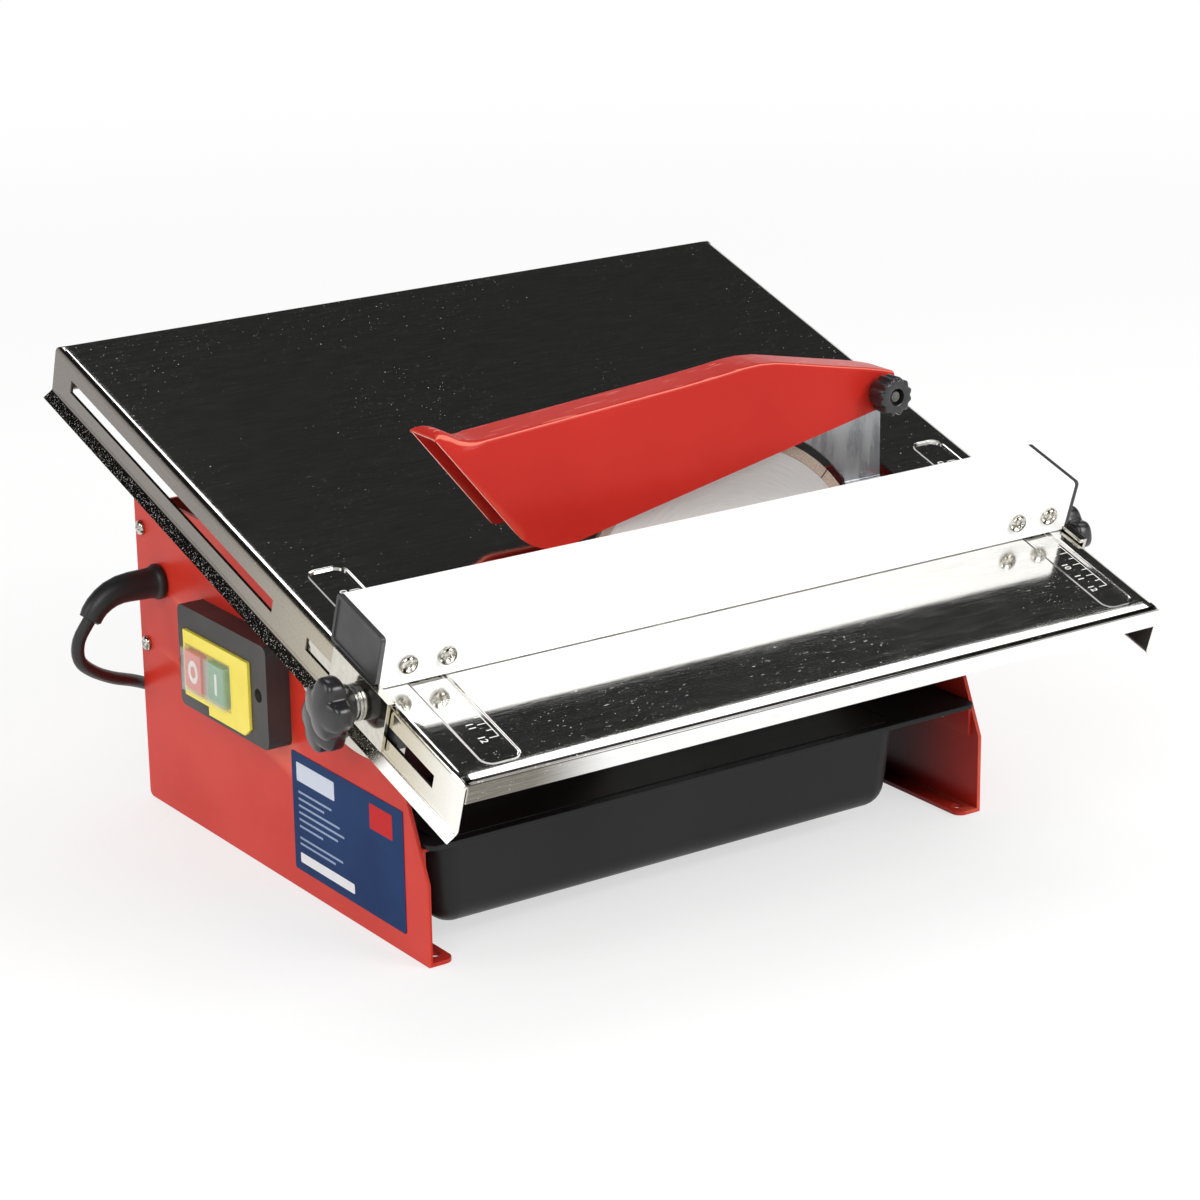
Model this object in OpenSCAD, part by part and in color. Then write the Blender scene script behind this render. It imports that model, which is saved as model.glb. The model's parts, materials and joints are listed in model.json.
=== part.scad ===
// Electric tile cutter with a tilting steel table, a fixed blade and a water tray.
// X runs along the blade, Y across it, Z is up. The origin is on the bench,
// below the middle of the bounding box. The table is drawn at its tilt.

/* [Table] */
// Width of the table top along the blade
table_w = 395; // [385:1:400]
// Depth of the table top across the blade
table_d = 385; // [370:1:400]
// Thickness of the table sheet
table_t = 1.5; // [1.2:0.1:2]
// Distance from the table's front edge to the blade line
front_d = 147; // [140:1:150]
// Tilt of the table, front edge down
tilt = 17.75; // [0:0.25:40]
// Height of the tilt axis, which lies in the table's top face
pivot_z = 169; // [168:1:172]
// Depth of the side and rear flanges
flange_h = 25; // [24:1:27]
// Depth of the front flange
front_flange_h = 10; // [8:1:14]

/* [Chassis] */
// Distance between the outer faces of the side plates
plates_w = 326; // [322:1:328]
// Depth of the side plates, front to back
plates_d = 271; // [265:1:275]
// Height of the side plates
plates_h = 164; // [162:1:165]
// Thickness of the painted sheet
sheet_t = 2; // [1.5:0.25:2.5]
// Width of the foot flanges
foot_w = 14; // [12:1:16]
// Diameter of the bench screw holes
foot_hole_d = 5.5; // [4.5:0.5:6.5]

/* [Blade] */
// Diameter of the cutting blade
blade_d = 180; // [176:1:180]
// Thickness of the diamond rim
blade_t = 2.2; // [2:0.1:2.6]
// Bore of the blade
blade_bore = 22.2; // [20:0.1:25.4]
// Distance of the blade axis to the right of the middle
blade_x = 39; // [37:0.5:40]
// Height of the blade axis
blade_z = 114.4; // [113:0.2:115]

/* [Fence] */
// Length of the fence rail without its end caps
fence_len = 392; // [385:1:394]
// Width of the fence rail
fence_w = 38.5; // [36:0.5:40]
// Height of the fence rail
fence_h = 25; // [21:0.5:26]
// Distance of the fence's front face from the table's front edge
fence_pos = 73.5; // [60:0.5:74]

/* [Cord] */
// Diameter of the mains cord
cord_d = 6.6; // [6:0.1:7.5]
// Outside diameter of the coiled cord
coil_od = 96; // [92:1:100]

/* [Hidden] */
$fn = 64;

// Sheet bends: outer radius, and the run and slope of the flared lip
bend_r = 3.5;
lip_run = 5;
lip_a = 41;
rear_d = table_d - front_d;

// The lip's outer edge, out from the flange's face and down from the table's face
bend_mid = bend_r - table_t / 2;
lip_out = bend_r - table_t - bend_mid * sin(lip_a) + lip_run * cos(lip_a) + table_t / 2 * sin(lip_a);
lip_down = flange_h - 1 + bend_mid * cos(lip_a) + lip_run * sin(lip_a) - table_t / 2 * cos(lip_a);

// Place of the tilt axis: the table's outline is centred on the origin front to back
front_y = -(front_d - bend_r) * cos(tilt) + bend_r * sin(tilt) - bend_r;
rear_y = (rear_d + lip_out) * cos(tilt) + lip_down * sin(tilt);
pivot_y = -(front_y + rear_y) / 2;

// Chassis, with y counted from the blade line
plate_out = plates_w / 2;
plate_in = plate_out - sheet_t;
plate_front = -50.5;
plate_back = plate_front + plates_d;
panel_y = plate_back - 4;
motor_plate_y = 12;
foot_hole_x = plate_out - 8;
foot_hole_inset = 8.5;
chassis_screw_y = plate_back - 6.8;
chassis_screw_z = [84, 145];

// Tilt quadrants and their studs
quad_r = 80.5;
stud_track_r = 67.5;
stud_r = 3;
quad_gap = 0.4;
lock_stud_a = 11;
guide_stud_a = 50;
track_clear = 0.35;
quad_y = [-56, 72];
quad_out = plate_out + quad_gap + sheet_t;

// Flange slots that hold the fence
slot_z = -13;
slot_h = 6.8;
front_slot = [22, 132];
rear_slot = [163, 366];

// Blade slot in the table, x and distance from the blade line
slot_x = [-58, 145.5];
slot_y = [-20, 15.5];

// Ruler troughs pressed into the table, x and distance from the front edge
trough_left = [-180.5, -162];
trough_right = [171, 187.5];
trough_y = [10, 165];
trough_depth = 0.8;

// Fence
cap_t = 2.5;
strip_t = 1.8;
strip_z = 0.4;
rail_z = strip_z + strip_t;
rail_foot = 0.5;
rail_t = 1.5;
stud_pos = 85;
bracket_pos = [60, 107];
bracket_x = table_w / 2 + 0.4;
fence_screw_x = [183, 163];
fence_screw_z = 11;
knob_x = bracket_x + strip_t + 3.2;

// Guard and riving knife
guard_half = 11;
guard_t = 1.4;
hinge_x = 127.5;
hinge_z = 215.3;
knife_t = 2;
knife_x = 136;
knife_eye_r = 7;
foot_z = 168.4;
knife_gap = 4;

// Shaft
shaft_r = 6;
body_t = 1.6;

// Switch
box_y = [68.5, 155.5];
box_z = [71.5, 123.5];
box_out = 12.5;
frame_out = 1.5;
stop_y = 135.8;
start_y = 113;
button_z = 93.4;

// Tray
tray_x = [-153.5, 112];
tray_y = [-44.5, 50];
tray_z = [12.5, 58];
tray_r = 13;
tray_t = 2.5;
tray_draft = 3;
shelf_y = -9;
rail_shelf = 4;

// Cord
boot_y = 196.2;
boot_z = 121.5;
cord_r = cord_d / 2;
route = [
    [-203, 0, 109], [-209, 1, 99], [-208, 4, 88], [-199, 9, 79], [-184, 17, 70],
    [-165, 28, 61], [-142, 40, 48], [-116, 52, 31], [-92, 60, 14], [-70, 65, 4.5], [-48, 66, 3.6]
];
coil_turns = 3;

// ---------------------------------------------------------------- helpers

// Moves children from the table's own frame (origin on the tilt axis) to its tilt.
module on_table() {
    translate([0, pivot_y, pivot_z])
        rotate([tilt, 0, 0])
            children();
}

// Moves children so that y counts from the blade line.
module from_blade() {
    translate([0, pivot_y, 0])
        children();
}

// Same thing on the left and on the right.
module both_sides() {
    children();
    mirror([1, 0, 0])
        children();
}

// Cylinder along X between two x values.
module x_rod(x1, x2, r) {
    translate([min(x1, x2), 0, 0])
        rotate([0, 90, 0])
            cylinder(h = abs(x2 - x1), r = r);
}

// Cylinder along Y between two y values.
module y_rod(y1, y2, r) {
    translate([0, max(y1, y2), 0])
        rotate([90, 0, 0])
            cylinder(h = abs(y2 - y1), r = r);
}

// Outline in the YZ plane, extruded from x1 to x2.
module yz_plate(x1, x2) {
    translate([min(x1, x2), 0, 0])
        rotate([90, 0, 90])
            linear_extrude(abs(x2 - x1))
                children();
}

// Outline in the XZ plane, extruded from y1 to y2.
module xz_plate(y1, y2) {
    translate([0, max(y1, y2), 0])
        rotate([90, 0, 0])
            linear_extrude(abs(y2 - y1))
                children();
}

// Box between two corners.
module box(p, q) {
    translate(p)
        cube(q - p);
}

// Rectangle between two corners with round corners.
module round_rect(p, q, r) {
    translate([p[0] + r, p[1]])
        square([q[0] - p[0] - 2 * r, q[1] - p[1]]);
    translate([p[0], p[1] + r])
        square([q[0] - p[0], q[1] - p[1] - 2 * r]);
    for (x = [p[0] + r, q[0] - r], y = [p[1] + r, q[1] - r])
        translate([x, y])
            circle(r = r, $fn = 48);
}

// Arc of points about c, from angle a1 to a2 in n steps.
function arc(c, r, a1, a2, n = 8) =
    [for (i = [0:n]) c + r * [cos(a1 + (a2 - a1) * i / n), sin(a1 + (a2 - a1) * i / n)]];

function unit(v) = v / norm(v);
function left_of(v) = [-v[1], v[0]];

// Side vector of a strip of half thickness h at point i of a path.
function side(p, i, h) =
    let (a = i == 0 ? unit(p[1] - p[0]) : unit(p[i] - p[i - 1]))
    let (b = i == len(p) - 1 ? a : unit(p[i + 1] - p[i]))
    let (m = unit(left_of(a) + left_of(b)))
    m * h / (m * left_of(a));

// Outline of a folded sheet of thickness t whose middle follows a path.
function folded(p, t) = concat(
    [for (i = [0:len(p) - 1]) p[i] + side(p, i, t / 2)],
    [for (i = [len(p) - 1:-1:0]) p[i] - side(p, i, t / 2)]
);

// Pan-head screw along +Z, with its head's underside at z = 0 and a cross recess.
module pan_screw(head_r, head_h, shank_r, shank_l) {
    difference() {
        union() {
            cylinder(h = head_h * 0.6, r = head_r);
            translate([0, 0, head_h * 0.6])
                cylinder(h = head_h * 0.4, r1 = head_r, r2 = head_r * 0.72, $fn = 32);
        }
        for (a = [0, 90])
            rotate([0, 0, a])
                translate([-head_r * 0.5, -0.5, head_h * 0.5])
                    cube([head_r, 1, head_h]);
    }
    translate([0, 0, -shank_l])
        cylinder(h = shank_l, r = shank_r);
}

// Star knob along +Z: a hub, then a lobed head with a flat face.
module star_knob(head_r, head_h, hub_r, hub_h, lobes, bore_r) {
    difference() {
        union() {
            cylinder(h = hub_h, r = hub_r);
            translate([0, 0, hub_h])
                linear_extrude(head_h)
                    difference() {
                        circle(r = head_r);
                        for (i = [0:lobes - 1])
                            rotate((i + 0.5) * 360 / lobes)
                                translate([head_r * 0.98, 0])
                                    circle(r = head_r * 0.27, $fn = 32);
                    }
            translate([0, 0, hub_h + head_h])
                cylinder(h = 3, r1 = head_r * 0.8, r2 = head_r * 0.5, $fn = 48);
        }
        translate([0, 0, -1])
            cylinder(h = hub_h + head_h - 1, r = bore_r);
    }
}

// ---------------------------------------------------------------- chassis

// Outline of a side plate, y from the blade line.
module plate_outline() {
    polygon(concat(
        [[plate_front, 0], [plate_front, 40], [-14.3, 123], [-12, 150], [0, plates_h - 2], [4, plates_h]],
        arc([plate_back - 6, plates_h - 6], 6, 90, 0),
        arc([plate_back - 3, 3], 3, 0, -90, 4)
    ));
}

// Side plate for the right, with its foot flange turned inward.
module side_plate() {
    from_blade() {
        difference() {
            yz_plate(plate_in, plate_out)
                plate_outline();
            for (a = [lock_stud_a, guide_stud_a])
                translate([0, stud_track_r * sin(a), pivot_z - stud_track_r * cos(a)])
                    x_rod(plate_in - 1, plate_out + 1, stud_r + 0.05);
            for (z = chassis_screw_z)
                translate([0, chassis_screw_y, z])
                    x_rod(plate_in - 1, plate_out + 1, 2.05);
            for (y = tray_screw_y)
                translate([0, y, tray_z[1] - 11])
                    x_rod(plate_in - 1, plate_out + 1, 1.55);
        }
        difference() {
            linear_extrude(sheet_t)
                polygon(concat(
                    [
                        [plate_out, plate_front],
                        [plate_out, plate_back - 3],
                        [plate_in - foot_w + 2, plate_back - 3]
                    ],
                    arc([plate_in - foot_w + 7, plate_front + 5], 5, 180, 270)
                ));
            for (y = [plate_front + foot_hole_inset, plate_back - 3 - foot_hole_inset])
                translate([foot_hole_x, y, -1])
                    cylinder(h = sheet_t + 2, r = foot_hole_d / 2);
        }
    }
}

tray_screw_y = [-25, 35];

module left_side_plate() {
    color("firebrick")
        difference() {
            mirror([1, 0, 0])
                side_plate();
            from_blade() {
                translate([0, boot_y, boot_z])
                    x_rod(-plate_out - 1, -plate_in + 1, 5.5);
                box([-plate_out - 1, 96, 78.5], [-plate_in + 1, 146, 109]);
                for (p = switch_screw_yz)
                    translate([0, p[0], p[1]])
                        x_rod(-plate_out - 1, -plate_in + 1, 1.8);
            }
        }
}

module right_side_plate() {
    color("firebrick")
        side_plate();
}

// Rear panel with cooling louvres, folded forward at both ends.
module rear_panel() {
    color("firebrick")
        from_blade()
            difference() {
                union() {
                    box([-plate_in, panel_y, 8], [plate_in, panel_y + sheet_t, 156]);
                    both_sides()
                        box([plate_in - sheet_t, panel_y - 10.5, 8], [plate_in, panel_y + 0.5, 156]);
                }
                for (x = [-60:15:60])
                    box([x + blade_x - 4, panel_y - 1, 84], [x + blade_x + 4, panel_y + sheet_t + 1, 140]);
                both_sides()
                    for (z = chassis_screw_z)
                        translate([0, chassis_screw_y, z])
                            x_rod(plate_in - sheet_t - 1, plate_in + 1, 2.05);
            }
}

// Cross plate that carries the motor, folded back at both ends.
module motor_plate() {
    color("firebrick")
        from_blade()
            difference() {
                union() {
                    box([-plate_in, motor_plate_y, 64], [plate_in, motor_plate_y + sheet_t, 160]);
                    both_sides()
                        box([plate_in - sheet_t, motor_plate_y + 1, 64], [plate_in, motor_plate_y + 14, 160]);
                }
                translate([blade_x, 0, blade_z])
                    y_rod(motor_plate_y - 1, motor_plate_y + 4, 20.1);
                for (a = [45:90:315])
                    translate([blade_x + bolt_r * cos(a), 0, blade_z + bolt_r * sin(a)])
                        y_rod(motor_plate_y - 1, motor_plate_y + 4, 2.55);
                for (z = [128, 152])
                    translate([126, 0, z])
                        y_rod(motor_plate_y - 1, motor_plate_y + 4, 2.05);
                both_sides()
                    translate([0, stud_track_r * sin(lock_stud_a), pivot_z - stud_track_r * cos(lock_stud_a)])
                        x_rod(plate_in - sheet_t - 3, plate_in + 1, 6);
            }
}

// Folded bracket that brings the riving knife's seat in front of the blade plane.
module knife_bracket() {
    color("firebrick")
        from_blade()
            difference() {
                union() {
                    box([112, -17, foot_z - 4], [143, -6, foot_z - 2]);
                    box([112, -8, 126], [143, -6, foot_z - 2]);
                    box([141, -8, 120], [143, motor_plate_y, 160]);
                    box([118, motor_plate_y - 2, 120], [143, motor_plate_y, 160]);
                }
                for (x = knife_screw_x)
                    translate([x, -11.5, foot_z - 5])
                        cylinder(h = 5, r = 2.05);
                for (z = [128, 152])
                    translate([126, 0, z])
                        y_rod(motor_plate_y - 3, motor_plate_y + 1, 2.05);
            }
}

knife_screw_x = [119, 131];

// Screws that hold the rear panel and the knife bracket.
module chassis_screws() {
    color("silver")
        from_blade() {
            both_sides()
                for (z = chassis_screw_z)
                    translate([plate_out, chassis_screw_y, z])
                        rotate([0, 90, 0])
                            pan_screw(3.8, 2.6, 2, 8);
            for (z = [128, 152])
                translate([126, motor_plate_y - 2, z])
                    rotate([90, 0, 0])
                        pan_screw(3.6, 2.4, 2, 8);
        }
}

// ---------------------------------------------------------------- motor

// Moves children to the blade axis, y from the blade line.
module on_axis() {
    translate([blade_x, pivot_y, blade_z])
        children();
}

// Ring about the blade axis.
module ring(y1, y2, r_out, r_in) {
    difference() {
        y_rod(y1, y2, r_out);
        y_rod(y1 - 1, y2 + 1, r_in);
    }
}

motor_r = 51;
bolt_r = 44;
bell_y = motor_plate_y + sheet_t;
stator_y = bell_y + 24;
rear_bell_y = stator_y + 62;
fan_y = rear_bell_y + 20;

module motor_front_bell() {
    color("lightgray")
        on_axis()
            difference() {
                union() {
                    y_rod(bell_y, stator_y, motor_r);
                    y_rod(bell_y - 3, bell_y + 0.5, 20);
                }
                y_rod(bell_y + 4, stator_y + 1, motor_r - 3);
                y_rod(bell_y - 4, bell_y + 5, 8.5);
                for (a = [45:90:315])
                    translate([bolt_r * cos(a), 0, bolt_r * sin(a)])
                        y_rod(bell_y - 1, bell_y + 5, 2.1);
            }
    color("lightgray")
        on_axis()
            ring(bell_y + 3.5, bell_y + 14, 20, 16);
}

module stator_core() {
    color("dimgray")
        on_axis()
            difference() {
                ring(stator_y, rear_bell_y, motor_r, 29.5);
                for (a = [0:15:345])
                    rotate([0, a, 0])
                        box([33, stator_y - 1, -1.8], [44, rear_bell_y + 1, 1.8]);
                for (a = [45:90:315])
                    translate([bolt_r * cos(a), 0, bolt_r * sin(a)])
                        y_rod(stator_y - 1, rear_bell_y + 1, 2.1);
            }
}

// End turns of the copper windings, ahead of and behind the core.
module stator_windings() {
    color("peru")
        on_axis()
            for (y = [[stator_y - 9, stator_y - 0.2], [rear_bell_y + 0.2, rear_bell_y + 9]])
                ring(y[0], y[1], 41.5, 33.5);
}

module motor_rear_bell() {
    color("lightgray")
        on_axis()
            difference() {
                y_rod(rear_bell_y, rear_bell_y + 16, motor_r);
                y_rod(rear_bell_y - 1, rear_bell_y + 12, motor_r - 3);
                y_rod(rear_bell_y + 11, rear_bell_y + 17, 8.5);
                for (a = [45:90:315])
                    translate([bolt_r * cos(a), 0, bolt_r * sin(a)])
                        y_rod(rear_bell_y + 11, rear_bell_y + 17, 2.1);
            }
    color("lightgray")
        on_axis()
            ring(rear_bell_y + 2, rear_bell_y + 12.5, 20, 16);
}

// Sheet cowl over the fan, with an air grille.
module fan_cowl() {
    color("black")
        on_axis()
            difference() {
                y_rod(rear_bell_y + 16, rear_bell_y + 46, motor_r - 0.5);
                y_rod(rear_bell_y + 15, rear_bell_y + 44.5, motor_r - 2);
                for (r = [16, 26, 36], a = [0:30:330])
                    rotate([0, a, 0])
                        translate([r, 0, 0])
                            y_rod(rear_bell_y + 44, rear_bell_y + 47, r > 20 ? 3.5 : 2.6);
            }
}

module motor_tie_bolts() {
    color("silver")
        on_axis()
            for (a = [45:90:315])
                translate([bolt_r * cos(a), 0, bolt_r * sin(a)]) {
                    y_rod(motor_plate_y - 3, rear_bell_y + 19, 2);
                    y_rod(motor_plate_y - 3, motor_plate_y, 4);
                    y_rod(rear_bell_y + 16, rear_bell_y + 19.2, 4);
                }
}

// Front and rear ball bearings.
module motor_bearings() {
    color("gainsboro")
        on_axis()
            for (y = [bell_y + 4, rear_bell_y + 2])
                ring(y, y + 10, 16, shaft_r + 0.05);
}

cap_x = -95;
cap_y = motor_plate_y + sheet_t + 24;
cap_z = 112;

module run_capacitor() {
    color("whitesmoke")
        translate([cap_x, pivot_y + cap_y, cap_z - 34]) {
            cylinder(h = 66, r = 17.5);
            for (x = [-6, 6])
                translate([x - 3, -0.5, 66])
                    cube([6, 1, 8]);
        }
}

// Spring clip that holds the capacitor to the motor plate.
module capacitor_clip() {
    color("silver")
        translate([cap_x, pivot_y + cap_y, cap_z - 14])
            difference() {
                union() {
                    cylinder(h = 20, r = 18.8);
                    translate([-6, -24, 0])
                        cube([12, 8, 20]);
                }
                translate([0, 0, -1])
                    cylinder(h = 22, r = 17.55);
                translate([-8, 10, -1])
                    cube([16, 12, 22]);
            }
}

// ---------------------------------------------------------------- spindle

module motor_shaft() {
    color("silver")
        on_axis() {
            y_rod(-15, fan_y + 17, shaft_r);
            y_rod(3.1, 9.5, 10);
        }
}

module rotor_core() {
    color("gray")
        on_axis() {
            ring(stator_y + 1, rear_bell_y - 1, 29, shaft_r);
            for (y = [[stator_y - 3, stator_y + 1], [rear_bell_y - 1, rear_bell_y + 1]])
                ring(y[0], y[1], 26, 18);
        }
}

module cooling_fan() {
    color("dimgray")
        on_axis() {
            ring(fan_y, fan_y + 17, 11, shaft_r);
            ring(fan_y, fan_y + 2, 46, 10.5);
            for (a = [0:40:320])
                rotate([0, a, 0])
                    box([10.5, fan_y + 1, -1], [46, fan_y + 17, 1]);
        }
}

// Inner flange with the blade's spigot, and outer flange.
module blade_flanges() {
    color("silver")
        on_axis() {
            difference() {
                union() {
                    y_rod(body_t / 2, 3.1, 30);
                    y_rod(-body_t / 2, 3, blade_bore / 2 - 0.05);
                }
                y_rod(-5, 5, shaft_r);
            }
            difference() {
                y_rod(-body_t / 2, -4.6, 30);
                y_rod(-6, 0, shaft_r);
                y_rod(-3.2, 0, 26);
            }
            ring(-4.6, -1, 14, shaft_r);
        }
}

// Steel blade body with a continuous diamond rim.
module cutting_blade() {
    color("lightgray")
        on_axis() {
            difference() {
                y_rod(-body_t / 2, body_t / 2, blade_d / 2 - 5);
                y_rod(-2, 2, blade_bore / 2);
            }
            ring(-blade_t / 2, blade_t / 2, blade_d / 2, blade_d / 2 - 5.1);
        }
}

module arbor_nut() {
    color("silver")
        on_axis()
            difference() {
                union() {
                    y_rod(-4.6, -6.2, 12);
                    translate([0, -6.2, 0])
                        rotate([90, 0, 0])
                            cylinder(h = 7, r = 10.4, $fn = 6);
                }
                y_rod(-14, -4, shaft_r);
            }
}

// ---------------------------------------------------------------- riving knife and guard

// Riving knife: a curved fin behind the blade, folded forward below the table.
module riving_knife() {
    arc_r = blade_d / 2 + knife_gap;
    c = [blade_x, blade_z];
    a1 = asin((foot_z + 3 - blade_z) / arc_r);
    color("silver")
        from_blade() {
            difference() {
                xz_plate(-knife_t / 2, knife_t / 2)
                    polygon(concat(
                        arc(c, arc_r, a1, 62, 14),
                        [[90, 214], [100, 222]],
                        arc([hinge_x, hinge_z], knife_eye_r, 82, -45, 10),
                        [[knife_x, hinge_z - 8.5], [knife_x, foot_z + 3]]
                    ));
                translate([hinge_x, 0, hinge_z])
                    y_rod(-3, 3, 2.6);
            }
            difference() {
                yz_plate(knife_foot_x, knife_x)
                    polygon(folded(concat(
                        [[0, foot_z + 3.05]],
                        arc([-3, foot_z + 2], 3, 0, -90, 6),
                        [[-16, foot_z - 1]]
                    ), knife_t));
                for (x = knife_screw_x)
                    translate([x, -11.5, foot_z - 3])
                        cylinder(h = 5, r = 2.05);
                for (x = knife_screw_x)
                    translate([x, -11.5, foot_z - 0.9])
                        cylinder(h = 2, r = 3.65);
            }
        }
}

knife_foot_x = blade_x + sqrt(pow(blade_d / 2 + knife_gap, 2) - pow(foot_z + 3 - blade_z, 2));

module knife_screws() {
    color("silver")
        from_blade()
            for (x = knife_screw_x)
                translate([x, -11.5, 0]) {
                    translate([0, 0, foot_z - 0.9])
                        cylinder(h = 0.8, r = 3.6);
                    translate([0, 0, foot_z - 9])
                        cylinder(h = 8.2, r = 2);
                }
}

// Top line of the guard in the XZ plane, from the curled nose to the hinge end.
guard_top = [
    [-127.4, 233.8], [-125, 236.1], [-121.5, 236.4], [-115, 233.1], [-109, 229.7], [-103, 229.2],
    [11, 237], [34, 238.9], [45, 240.2], [54, 240.6], [65, 239.7],
    [81, 236.4], [103, 231.8], [126, 227.2], [136, 224.4]
];

module guard_wall_outline() {
    polygon(concat(
        [for (p = guard_top) p - [0, 0.5]],
        arc([128.3, 214.8], 8.3, 0, -100, 8),
        arc([-61.7, 200.9], 30, -79.2, -141.1, 8)
    ));
}

// Blade guard: an inverted channel with a flared nose, cut short at the back
// so that it clears the tilted table.
module blade_guard() {
    color("firebrick")
        from_blade()
            difference() {
                union() {
                    xz_plate(-guard_half, -guard_half + guard_t)
                        guard_wall_outline();
                    difference() {
                        xz_plate(guard_half - guard_t, guard_half)
                            guard_wall_outline();
                        box([-150, 0, 160], [0, 20, pivot_z + guard_half + 1.2]);
                    }
                    xz_plate(-guard_half, guard_half)
                        polygon(concat(
                            guard_top,
                            [for (i = [len(guard_top) - 1:-1:0]) guard_top[i] - [0, guard_t * 1.05]]
                        ));
                }
                translate([hinge_x, 0, hinge_z])
                    y_rod(-20, 20, 2.6);
            }
}

module guard_bolt() {
    color("silver")
        from_blade()
            translate([hinge_x, 0, hinge_z]) {
                y_rod(-guard_half - 12, guard_half + 3, 2.5);
                y_rod(guard_half, guard_half + 3.4, 4.6);
            }
}

// Spacers that keep the knife in the middle of the guard.
module guard_spacers() {
    color("silver")
        from_blade()
            translate([hinge_x, 0, hinge_z])
                for (s = [-1, 1])
                    ring(
                        min(s * 1.2, s * (guard_half - guard_t)),
                        max(s * 1.2, s * (guard_half - guard_t)),
                        5,
                        2.55
                    );
}

// Scalloped clamping knob with a recessed middle.
module guard_knob() {
    color("black")
        from_blade()
            translate([hinge_x, -guard_half - 0.1, hinge_z])
                rotate([90, 0, 0])
                    difference() {
                        union() {
                            cylinder(h = 2.5, r = 7);
                            translate([0, 0, 2])
                                linear_extrude(11.5)
                                    difference() {
                                        circle(r = 9.8);
                                        for (a = [0:30:330])
                                            rotate(a)
                                                translate([11.1, 0])
                                                    circle(r = 2.1, $fn = 24);
                                    }
                        }
                        translate([0, 0, -1])
                            cylinder(h = 20, r = 2.55);
                        translate([0, 0, 8])
                            cylinder(h = 8, r = 4.2);
                    }
}

// ---------------------------------------------------------------- tray

// Moulded tub with round corners that widens by the draft d towards its top.
module tub(p, q, r, d) {
    hull() {
        for (x = [p[0] + r, q[0] - r], y = [p[1] + r, q[1] - r])
            translate([x, y, p[2] + r])
                sphere(r = r, $fn = 32);
        for (x = [p[0] + r - d, q[0] - r + d], y = [p[1] + r - d, q[1] - r + d])
            translate([x, y, q[2] - 1])
                cylinder(h = 1, r = r, $fn = 32);
    }
}

// The rim is widened at the front into a shelf that stops the spray short of the blade.
module water_tray() {
    color("#2a2a2a")
        from_blade() {
            box([tray_x[0] + 1, tray_y[0] + 1, tray_z[1] - tray_t], [tray_x[1] - 1, shelf_y, tray_z[1]]);
            difference() {
                union() {
                    tub(
                        [tray_x[0], tray_y[0], tray_z[0]],
                        [tray_x[1], tray_y[1], tray_z[1]],
                        tray_r,
                        tray_draft
                    );
                    translate([0, 0, tray_z[1] - tray_t])
                        linear_extrude(tray_t)
                            round_rect([1 - plate_in, tray_y[0] - 5], [plate_in - 1, tray_y[1] + 5], 4);
                }
                tub(
                    [tray_x[0] + tray_t, tray_y[0] + tray_t, tray_z[0] + tray_t],
                    [tray_x[1] - tray_t, tray_y[1] - tray_t, tray_z[1] + 1],
                    tray_r - tray_t, tray_draft
                );
            }
        }
}

// Angle rails on the side plates that carry the tray's rim.
module tray_rails() {
    color("firebrick")
        from_blade()
            both_sides()
                difference() {
                    union() {
                        box(
                            [plate_in - 1.5, tray_y[0], tray_z[1] - tray_t - 16],
                            [plate_in, tray_y[1], tray_z[1] - tray_t]
                        );
                        box(
                            [plate_in - rail_shelf, tray_y[0], tray_z[1] - tray_t - 1.5],
                            [plate_in - 1, tray_y[1], tray_z[1] - tray_t]
                        );
                    }
                    for (y = tray_screw_y)
                        translate([0, y, tray_z[1] - 11])
                            x_rod(plate_in - 3, plate_in + 1, 1.55);
                }
}

// Blind rivets that hold the rails; their heads are inside.
module tray_screws() {
    color("silver")
        from_blade()
            both_sides()
                for (y = tray_screw_y)
                    translate([0, y, tray_z[1] - 11]) {
                        x_rod(plate_in - 1.5, plate_out, 1.5);
                        x_rod(plate_in - 2.7, plate_in - 1.5, 3);
                    }
}

// ---------------------------------------------------------------- switch

switch_screw_yz = [[77, 97.5], [152, 94]];
frame_y = [84.5, 148.5];
frame_z = [78.5, 112];

// Outline of the yellow frame in the YZ plane; the start side reaches lower.
module frame_outline(grow = 0) {
    polygon([
        [frame_y[1] + grow, frame_z[0] - grow], [frame_y[1] + grow, frame_z[1] + grow],
        [frame_y[0] - grow, frame_z[1] + grow], [frame_y[0] - grow, frame_z[0] - 0.5],
        [frame_y[0] + 5, frame_z[0] - 4.5 - grow], [125, frame_z[0] - 4.5 - grow], [125, frame_z[0] - grow]
    ]);
}

module switch_box() {
    color("#3a3a3a")
        from_blade()
            difference() {
                yz_plate(-plate_out - box_out, -plate_out)
                    round_rect([box_y[0], box_z[0]], [box_y[1], box_z[1]], 4);
                yz_plate(-plate_out - box_out - 1, -plate_out - box_out + 3)
                    frame_outline(0.3);
                box([-plate_out - 10, 95, 79.5], [-plate_out + 1, 147, 108]);
                for (p = switch_screw_yz)
                    translate([0, p[0], p[1]]) {
                        x_rod(-plate_out - box_out - 1, -plate_out + 1, 1.8);
                        x_rod(-plate_out - box_out - 1, -plate_out - 8, 3.4);
                    }
            }
}

// Contact block behind the buttons, with its terminals.
module switch_body() {
    color("#202020")
        from_blade()
            difference() {
                union() {
                    box([-plate_out - 6.5, 97, 80], [-plate_out + 26, 145, 107.5]);
                    for (y = [103, 114, 128, 139])
                        box([-plate_out + 26, y - 3, 92.9], [-plate_out + 34, y + 3, 93.7]);
                }
                for (y = [stop_y, start_y])
                    box(
                        [-plate_out - 7, y - 9.4, button_z - 10.4],
                        [-plate_out - 3, y + 9.4, button_z + 10.4]
                    );
            }
}

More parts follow.
